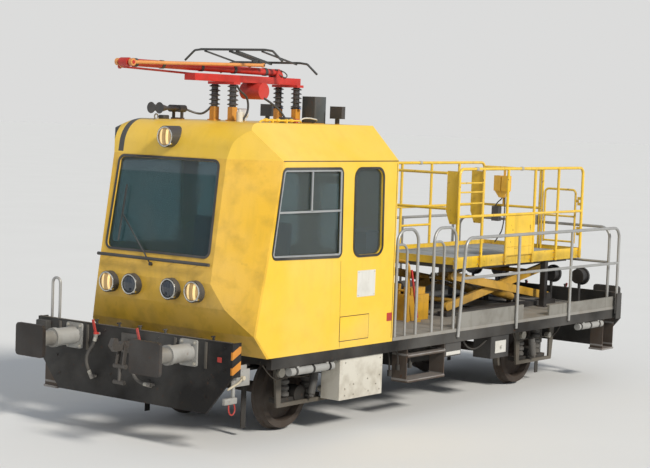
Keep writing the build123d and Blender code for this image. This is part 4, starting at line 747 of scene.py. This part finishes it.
def lens(name, dark, bright, glow):
    """Moulded lamp glass over a reflector that is paler in two upright patches: lit where the lens glows, a
    painted reflection where it does not.
    """
    material = bpy.data.materials.new(name)
    material.use_nodes = True
    tree = material.node_tree
    shader = tree.nodes["Principled BSDF"]
    shader.inputs["Roughness"].default_value = 0.08
    shader.inputs["Emission Strength"].default_value = glow
    shader.inputs["Coat Weight"].default_value = 0.6
    shader.inputs["Coat Roughness"].default_value = 0.05
    parts = add_node(tree, "SeparateXYZ")
    join(tree, add_node(tree, "TexCoord").outputs["Object"], parts.inputs[0])
    outward = maths(tree, "PINGPONG", maths(tree, "ABSOLUTE", parts.outputs["Y"]), outer_y / 2)
    apart = add_node(tree, "Math", operation="COMPARE")
    join(tree, outward, apart.inputs[0])
    apart.inputs[1].default_value = patch_y
    apart.inputs[2].default_value = patch_half
    ribs = span(tree, noise(tree, parts.outputs["Y"], 160, 0), 0.35, 0.65)
    colour = blend_colour(tree, maths(tree, "MULTIPLY", ribs, 0.4), tuple(dark) + (1,), tuple(bright) + (1,))
    colour = blend_colour(tree, maths(tree, "MULTIPLY", apart.outputs[0], 0.9), colour, tuple(bright) + (1,))
    join(tree, colour, shader.inputs["Base Color"])
    join(tree, colour, shader.inputs["Emission Color"])
    return material


warm_lens = lens("warm_lens", (0.16, 0.07, 0.015), (1.0, 0.72, 0.30), 0.55)
# Unlit glass: its two paler patches are a painted reflection.
dark_lens = lens("dark_lens", (0.012, 0.016, 0.022), (0.12, 0.15, 0.19), 0.0)
chrome = weathered("chrome", (0.66, 0.64, 0.58), 0.14, (0.12, 0.1, 0.08), 0.25, 0.0, 0.0, 0.0, metallic=1.0)
for label, spots in lamp_spots.items():
    together([dome(Vector(spot) - Vector((0.012, 0, 0)), (1, 0, 0), 0.100, 0.03) for spot in spots])
    settle(f"{label}_lenses", dark_lens if label == "inner" else warm_lens)
    together([ring(spot, (1, 0, 0), 0.107, 0.010) for spot in spots]
             + [slab(Vector(spot) + Vector((-0.02, 0.075, -0.09)),
                     Vector(spot) + Vector((0.012, 0.10, -0.065)), 0.004)
                for spot in spots])
    settle(f"{label}_rims", chrome)

# Glass of the work lights over the rear wall and of the rear lamps: ribbed, dark while unlit but for two
# paler patches of painted reflection, the rear lamps' held by chromed rims.
together([slab((1.378, side * 0.55 - 0.078, 3.652), (1.39, side * 0.55 + 0.078, 3.778), 0.005)
          for side in (1, -1)])
settle("work_light_glass", dark_lens)
rear_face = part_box("rear_lamps")[0].x
rear_spots = [(rear_face - 0.002, side * y, 1.45) for side in (1, -1) for y in (0.92, 0.45)]
together([dome(Vector(spot) + Vector((0.012, 0, 0)), (-1, 0, 0), 0.105, 0.03) for spot in rear_spots])
settle("rear_lenses", dark_lens)
together([ring(spot, (-1, 0, 0), 0.112, 0.009) for spot in rear_spots])
settle("rear_rims", chrome)

# Roof fittings, bolted to the roof: horns and work lights in black, a dark box, a pale air bottle on its
# brackets, and orange stools under glazed insulators.
roof_paint = weathered(
    "roof_paint", (0.62, 0.27, 0.02), 0.45, (0.10, 0.07, 0.045), 0.5, 0.4, 0.35, 0.5,
    zones=(((3.1, -0.7, 3.58), (3.7, -0.2, 3.9), (0.02, 0.02, 0.022)),
           ((1.3, -1.2, 3.58), (1.5, 1.2, 3.9), (0.03, 0.03, 0.032)),
           ((1.38, 0.14, 3.58), (1.64, 0.4, 4.0), (0.05, 0.06, 0.065)),
           ((2.45, -1.2, 3.58), (2.8, 1.2, 3.78), (0.55, 0.55, 0.53))))
dress(roof_paint, "roof_fittings")
insulator_glaze = weathered("insulator_glaze", (0.035, 0.03, 0.03), 0.25, (0.12, 0.11, 0.1), 0.35, 0.1, 0.0,
                            0.0, coat=0.4)
dress(insulator_glaze, "insulators")

# Small roof fittings: an upright pale bottle, a drooping black cable from the drive to the roof, yellow air
# pipe with unions along the left side, a lifting eye, and blue caps at the rear insulators' feet.
together([rod((2.956, 0.30, 3.572), (2.956, 0.30, 3.69), 0.038, 24),
          rod((2.956, 0.30, 3.685), (2.956, 0.30, 3.715), 0.017, 16)])
settle("roof_bottle", label_white)
together([bent_rod(points, 0.013) for points in (
    ((2.90, 0.20, 3.99), (2.86, 0.20, 3.93), (2.715, 0.20, 3.87), (2.68, 0.20, 3.73), (2.74, 0.20, 3.62),
     (2.84, 0.22, 3.57)),
    ((3.14, -0.39, 3.70), (3.0, -0.32, 3.64), (2.96, -0.22, 3.66), (2.93, -0.16, 3.74)),
    ((2.35, 0.12, 3.87), (2.30, 0.24, 3.80), (2.16, 0.30, 3.68), (2.12, 0.34, 3.57)))]
    + [slab((2.06, 0.26, 3.57), (2.20, 0.38, 3.64), 0.01, 3),
       slab((3.34, -0.53, 3.57), (3.44, -0.44, 3.62), 0.012, 3)])
settle("roof_cables", lamp_black)
together([bent_rod(((2.86, 0.52, 3.57), (2.84, 0.52, 3.60), (2.70, 0.52, 3.605), (2.45, 0.52, 3.60),
                    (2.20, 0.52, 3.605), (2.05, 0.50, 3.60), (2.02, 0.45, 3.57)), 0.012)]
         + [rod((x, 0.52, 3.603), (x + 0.05, 0.52, 3.603), 0.021, 6) for x in (2.25, 2.5, 2.72)]
         + [slab((x, 0.50, 3.57), (x + 0.02, 0.54, 3.62), 0.003) for x in (2.36, 2.62)])
settle("roof_pipe", cab_paint_and_shadow_bands)
bent_rod(((1.98, 0.40, 3.575), (1.94, 0.40, 3.63), (1.80, 0.41, 3.64), (1.66, 0.40, 3.625),
          (1.60, 0.38, 3.62), (1.57, 0.34, 3.60)), 0.009)
settle("roof_lead", label_white)
slab((1.95, 0.32, 3.57), (2.01, 0.38, 3.625), 0.006)
settle("roof_red_box", plate_red)
together([ring((3.503, -0.5, 3.60), (0, 1, 0), 0.028, 0.008),
          rod((3.503, -0.5, 3.565), (3.503, -0.5, 3.582), 0.024)])
settle("lifting_eye", zinc)
cap_blue = weathered("cap_blue", (0.03, 0.10, 0.28), 0.45, (0.1, 0.08, 0.06), 0.4, 0.1, 0.1, 0.3)
repeat(bolt(0.022), [(1.72, side * 0.14 + dy, 3.74) for side in (1, -1) for dy in (-0.062, 0.062)], (0, 0, 1))
settle("insulator_caps", cap_blue)

# Pantograph: folded flat on its base, with a red steel lower arm and push rod, an upper arm of sun-bleached
# orange tube, and a dark head with its contact strips.
arm_red = weathered("arm_red", (0.55, 0.022, 0.012), 0.4, (0.09, 0.03, 0.02), 0.45, 0.2, 0.15, 0.3)
arm_orange = weathered("arm_orange", (0.72, 0.30, 0.08), 0.4, (0.22, 0.08, 0.03), 0.4, 0.2, 0.15, 0.3)
head_grey = weathered("head_grey", (0.06, 0.065, 0.065), 0.45, (0.09, 0.08, 0.07), 0.4, 0.1, 0.2, 0.3,
                      metallic=0.4)
dress(arm_red, "pantograph_base", "pantograph_lower_arm", "pantograph_push_rod")
dress(arm_orange, "pantograph_upper_arm")
dress(head_grey, "pantograph_head")

# Lower arm's bands and shunt: dark steel collars clamped round the tube, and a slack braid carried over its
# lower joint.
arm_foot, arm_foot_z, arm_rise = 1.95, 4.17, 0.0077
together([rod((x, 0, arm_foot_z + (x - arm_foot) * arm_rise),
              (x + 0.045, 0, arm_foot_z + (x - arm_foot) * arm_rise), 0.048, 32, 0.1)
          for x in (2.15, 2.72, 3.30, 3.95, 4.38)]
         + [bent_rod(((1.98, 0.05, 4.16), (1.90, 0.09, 4.10), (1.84, 0.10, 4.14), (1.92, 0.07, 4.20),
                      (2.02, 0.04, 4.205)), 0.007)])
settle("lower_arm_bands", head_grey, body="pantograph_lower_arm")

# Lift: dark welded base rails and posts, yellow box section arms, and cylinders with chromed rods, all
# greasy about their pins.
lift_paint = weathered("lift_paint", (0.02, 0.02, 0.022), 0.5, (0.06, 0.047, 0.037), 0.5, 0.2, 0.3, 0.5,
                       specular=0.25)
arm_paint = weathered("arm_paint", (0.60, 0.33, 0.02), 0.45, (0.07, 0.05, 0.035), 0.75, 0.4, 0.35, 0.6)
dress(lift_paint, "lift_base")
dress(arm_paint, "scissor_outer", "scissor_inner", "lift_barrels")
dress(chrome, "lift_rods")

# Work platform: welded steel tube and plate in yellow, rusty along its edges, with a grey floor, an underside
# painted near black as painted shade, and control boxes hooked on the rails.
platform_paint = weathered("platform_paint", (0.85, 0.54, 0.02), 0.38, (0.14, 0.085, 0.035), 0.32, 0.28, 0.75,
                           1.0, coat=0.15)
floor_paint_and_underside_shade = weathered("floor_paint_and_underside_shade", (0.85, 0.54, 0.02), 0.45, (0.12, 0.09, 0.06), 0.5, 0.35, 0.5, 0.8,
                        zones=(((-4.19, -0.808, 1.79), (-0.9, 0.808, 1.81), (0.42, 0.42, 0.40)),
                               # Under the floor: near black, painted shade.
                               ((-4.3, -0.80, 1.5), (-0.8, 0.80, 1.762), (0.05, 0.05, 0.05))))
dress(platform_paint, "platform_railings", "platform_end_rails", "platform_gate")
dress(floor_paint_and_underside_shade, "platform_floor")
control_paint = weathered("control_paint", (0.82, 0.44, 0.012), 0.4, (0.12, 0.08, 0.04), 0.4, 0.3, 0.2, 0.4,
                          zones=(((-4.25, -0.05, 2.1), (-4.0, 0.15, 2.3), (0.17, 0.18, 0.18)),
                                 ((-4.25, -0.7, 2.1), (-4.0, -0.5, 2.45), (0.02, 0.02, 0.022))))
dress(control_paint, "control_boxes")

# Floor mats: three sheets of grey rubber laid loose on the platform floor between its railings, worn pale
# by boots.
mat_grey = weathered("mat_grey", (0.30, 0.33, 0.35), 0.7, (0.2, 0.18, 0.14), 0.6, 0.0, 0.0, 0.0)
together([slab((low, -0.76, 1.798), (low + 0.98, 0.76, 1.807), 0.003) for low in (-4.13, -3.08, -2.03)])
settle("floor_mats", mat_grey, body="platform")

# Rail clamps and panel seam: pale pipe clamps on the top rail, a folded seam along the panel, bolt heads
# where the posts stand on the side plate, and a control lead tied to the rear post.
rail_y, rail_z, clamp_half = 0.851, 3.03, 0.028
together([rod((x - clamp_half, side * rail_y, rail_z), (x + clamp_half, side * rail_y, rail_z), 0.0265, 24,
              0.1) for x in (-1.30, -2.45) for side in (1, -1)])
settle("rail_clamps", zinc, body="platform")
rod((-2.82, 0.854, 1.95), (-2.12, 0.854, 1.95), 0.005, 8)
settle("panel_seam", platform_paint, body="platform")
repeat(bolt(0.009), [(x + dx, 0.829, z) for x in (-0.89, -1.48, -2.11, -2.83, -3.48, -4.18)
                     for dx in (-0.035, 0.035) for z in (1.75, 1.82)], (0, 1, 0))
settle("post_bolts", zinc, body="platform")
together([bent_rod(((-4.16, -0.47, 2.62), (-4.15, -0.49, 2.50), (-4.12, -0.56, 2.45), (-4.13, -0.60, 2.38)),
                   0.009),
          bent_rod(((-4.15, -0.45, 2.62), (-4.12, -0.42, 2.30), (-4.14, -0.46, 2.05), (-4.16, -0.52, 1.95),
                    (-4.16, -0.60, 1.84)), 0.010)])
settle("control_lead", rubber, body="platform")

# Hydraulic unit: a yellow sheet steel tank with its pump, bolted to the deck behind the cab, with a red
# hand lever.
unit_paint = weathered("unit_paint", (0.70, 0.37, 0.015), 0.42, (0.06, 0.045, 0.03), 0.6, 0.4, 0.3, 0.5,
                       zones=(((-0.28, 0.67, 1.1), (-0.04, 0.75, 1.8), (0.62, 0.02, 0.015)),
                              ((-0.62, 0.2, 1.38), (-0.3, 0.45, 1.6), (0.03, 0.03, 0.032))))
dress(unit_paint, "hydraulic_unit")

# Floor: a wide pale studio floor that the vehicle stands on by its flanges.
ground = bpy.data.materials.new("studio_floor")
ground.use_nodes = True
tree = ground.node_tree
shader = tree.nodes["Principled BSDF"]
place = add_node(tree, "TexCoord").outputs["Object"]
join(tree, blend_colour(tree, noise(tree, place, 0.4, 3), (0.72, 0.72, 0.70, 1), (0.76, 0.76, 0.74, 1)),
     shader.inputs["Base Color"])
shader.inputs["Roughness"].default_value = 0.9
shader.inputs["Specular IOR Level"].default_value = 0.1
clear()
bpy.ops.mesh.primitive_circle_add(vertices=96, radius=260, fill_type="NGON")
stage_floor = bpy.context.object
stage_floor.name = "studio_floor"
stage_floor.data.materials.append(ground)

# Light: a broad soft key high on the left side, a weaker fill before the front, and a pale surround.
world = bpy.data.worlds.new("surround")
bpy.context.scene.world = world
world.use_nodes = True
tree = world.node_tree
backdrop = tree.nodes["Background"]
seen = add_node(tree, "LightPath")
direct = maths(tree, "MAXIMUM", seen.outputs["Is Camera Ray"], seen.outputs["Is Transmission Ray"])
join(tree, blend_colour(tree, direct, (0.38, 0.41, 0.46, 1), (0.715, 0.715, 0.71, 1)),
     backdrop.inputs["Color"])
backdrop.inputs["Strength"].default_value = 1.0
for name, strength, angle, way in (("key", 3.1, 10, (-0.16, -0.84, -0.60)),
                                   ("fill", 0.3, 60, (-0.9, -0.1, -0.35))):
    sun = bpy.data.lights.new(name, "SUN")
    sun.energy = strength
    sun.angle = radians(angle)
    sun.color = (1.0, 0.955, 0.89)
    lamp = bpy.data.objects.new(name, sun)
    lamp.rotation_euler = Vector(way).to_track_quat("-Z", "Y").to_euler()
    bpy.context.collection.objects.link(lamp)

# Camera: ahead of the vehicle on its left side, a little higher than the cab's roof, with a long lens.
camera_place = Vector((18.217, 13.300, 3.752))
yaw, pitch, roll = radians(-142.53), radians(-4.12), radians(2.06)
ahead = Vector((cos(yaw) * cos(pitch), sin(yaw) * cos(pitch), sin(pitch)))
right = Vector((sin(yaw), -cos(yaw), 0))
above = right.cross(ahead)
side_way = cos(roll) * right + sin(roll) * above
up_way = -sin(roll) * right + cos(roll) * above
camera_data = bpy.data.cameras.new("view")
camera_data.lens = 95.87
camera_data.sensor_width = 36
camera = bpy.data.objects.new("view", camera_data)
turned = Matrix((side_way, up_way, -ahead)).transposed().to_4x4()
camera.matrix_world = Matrix.Translation(camera_place) @ turned
camera_data.clip_end = 1000
bpy.context.collection.objects.link(camera)
bpy.context.scene.camera = camera
bpy.context.scene.view_settings.view_transform = "Standard"
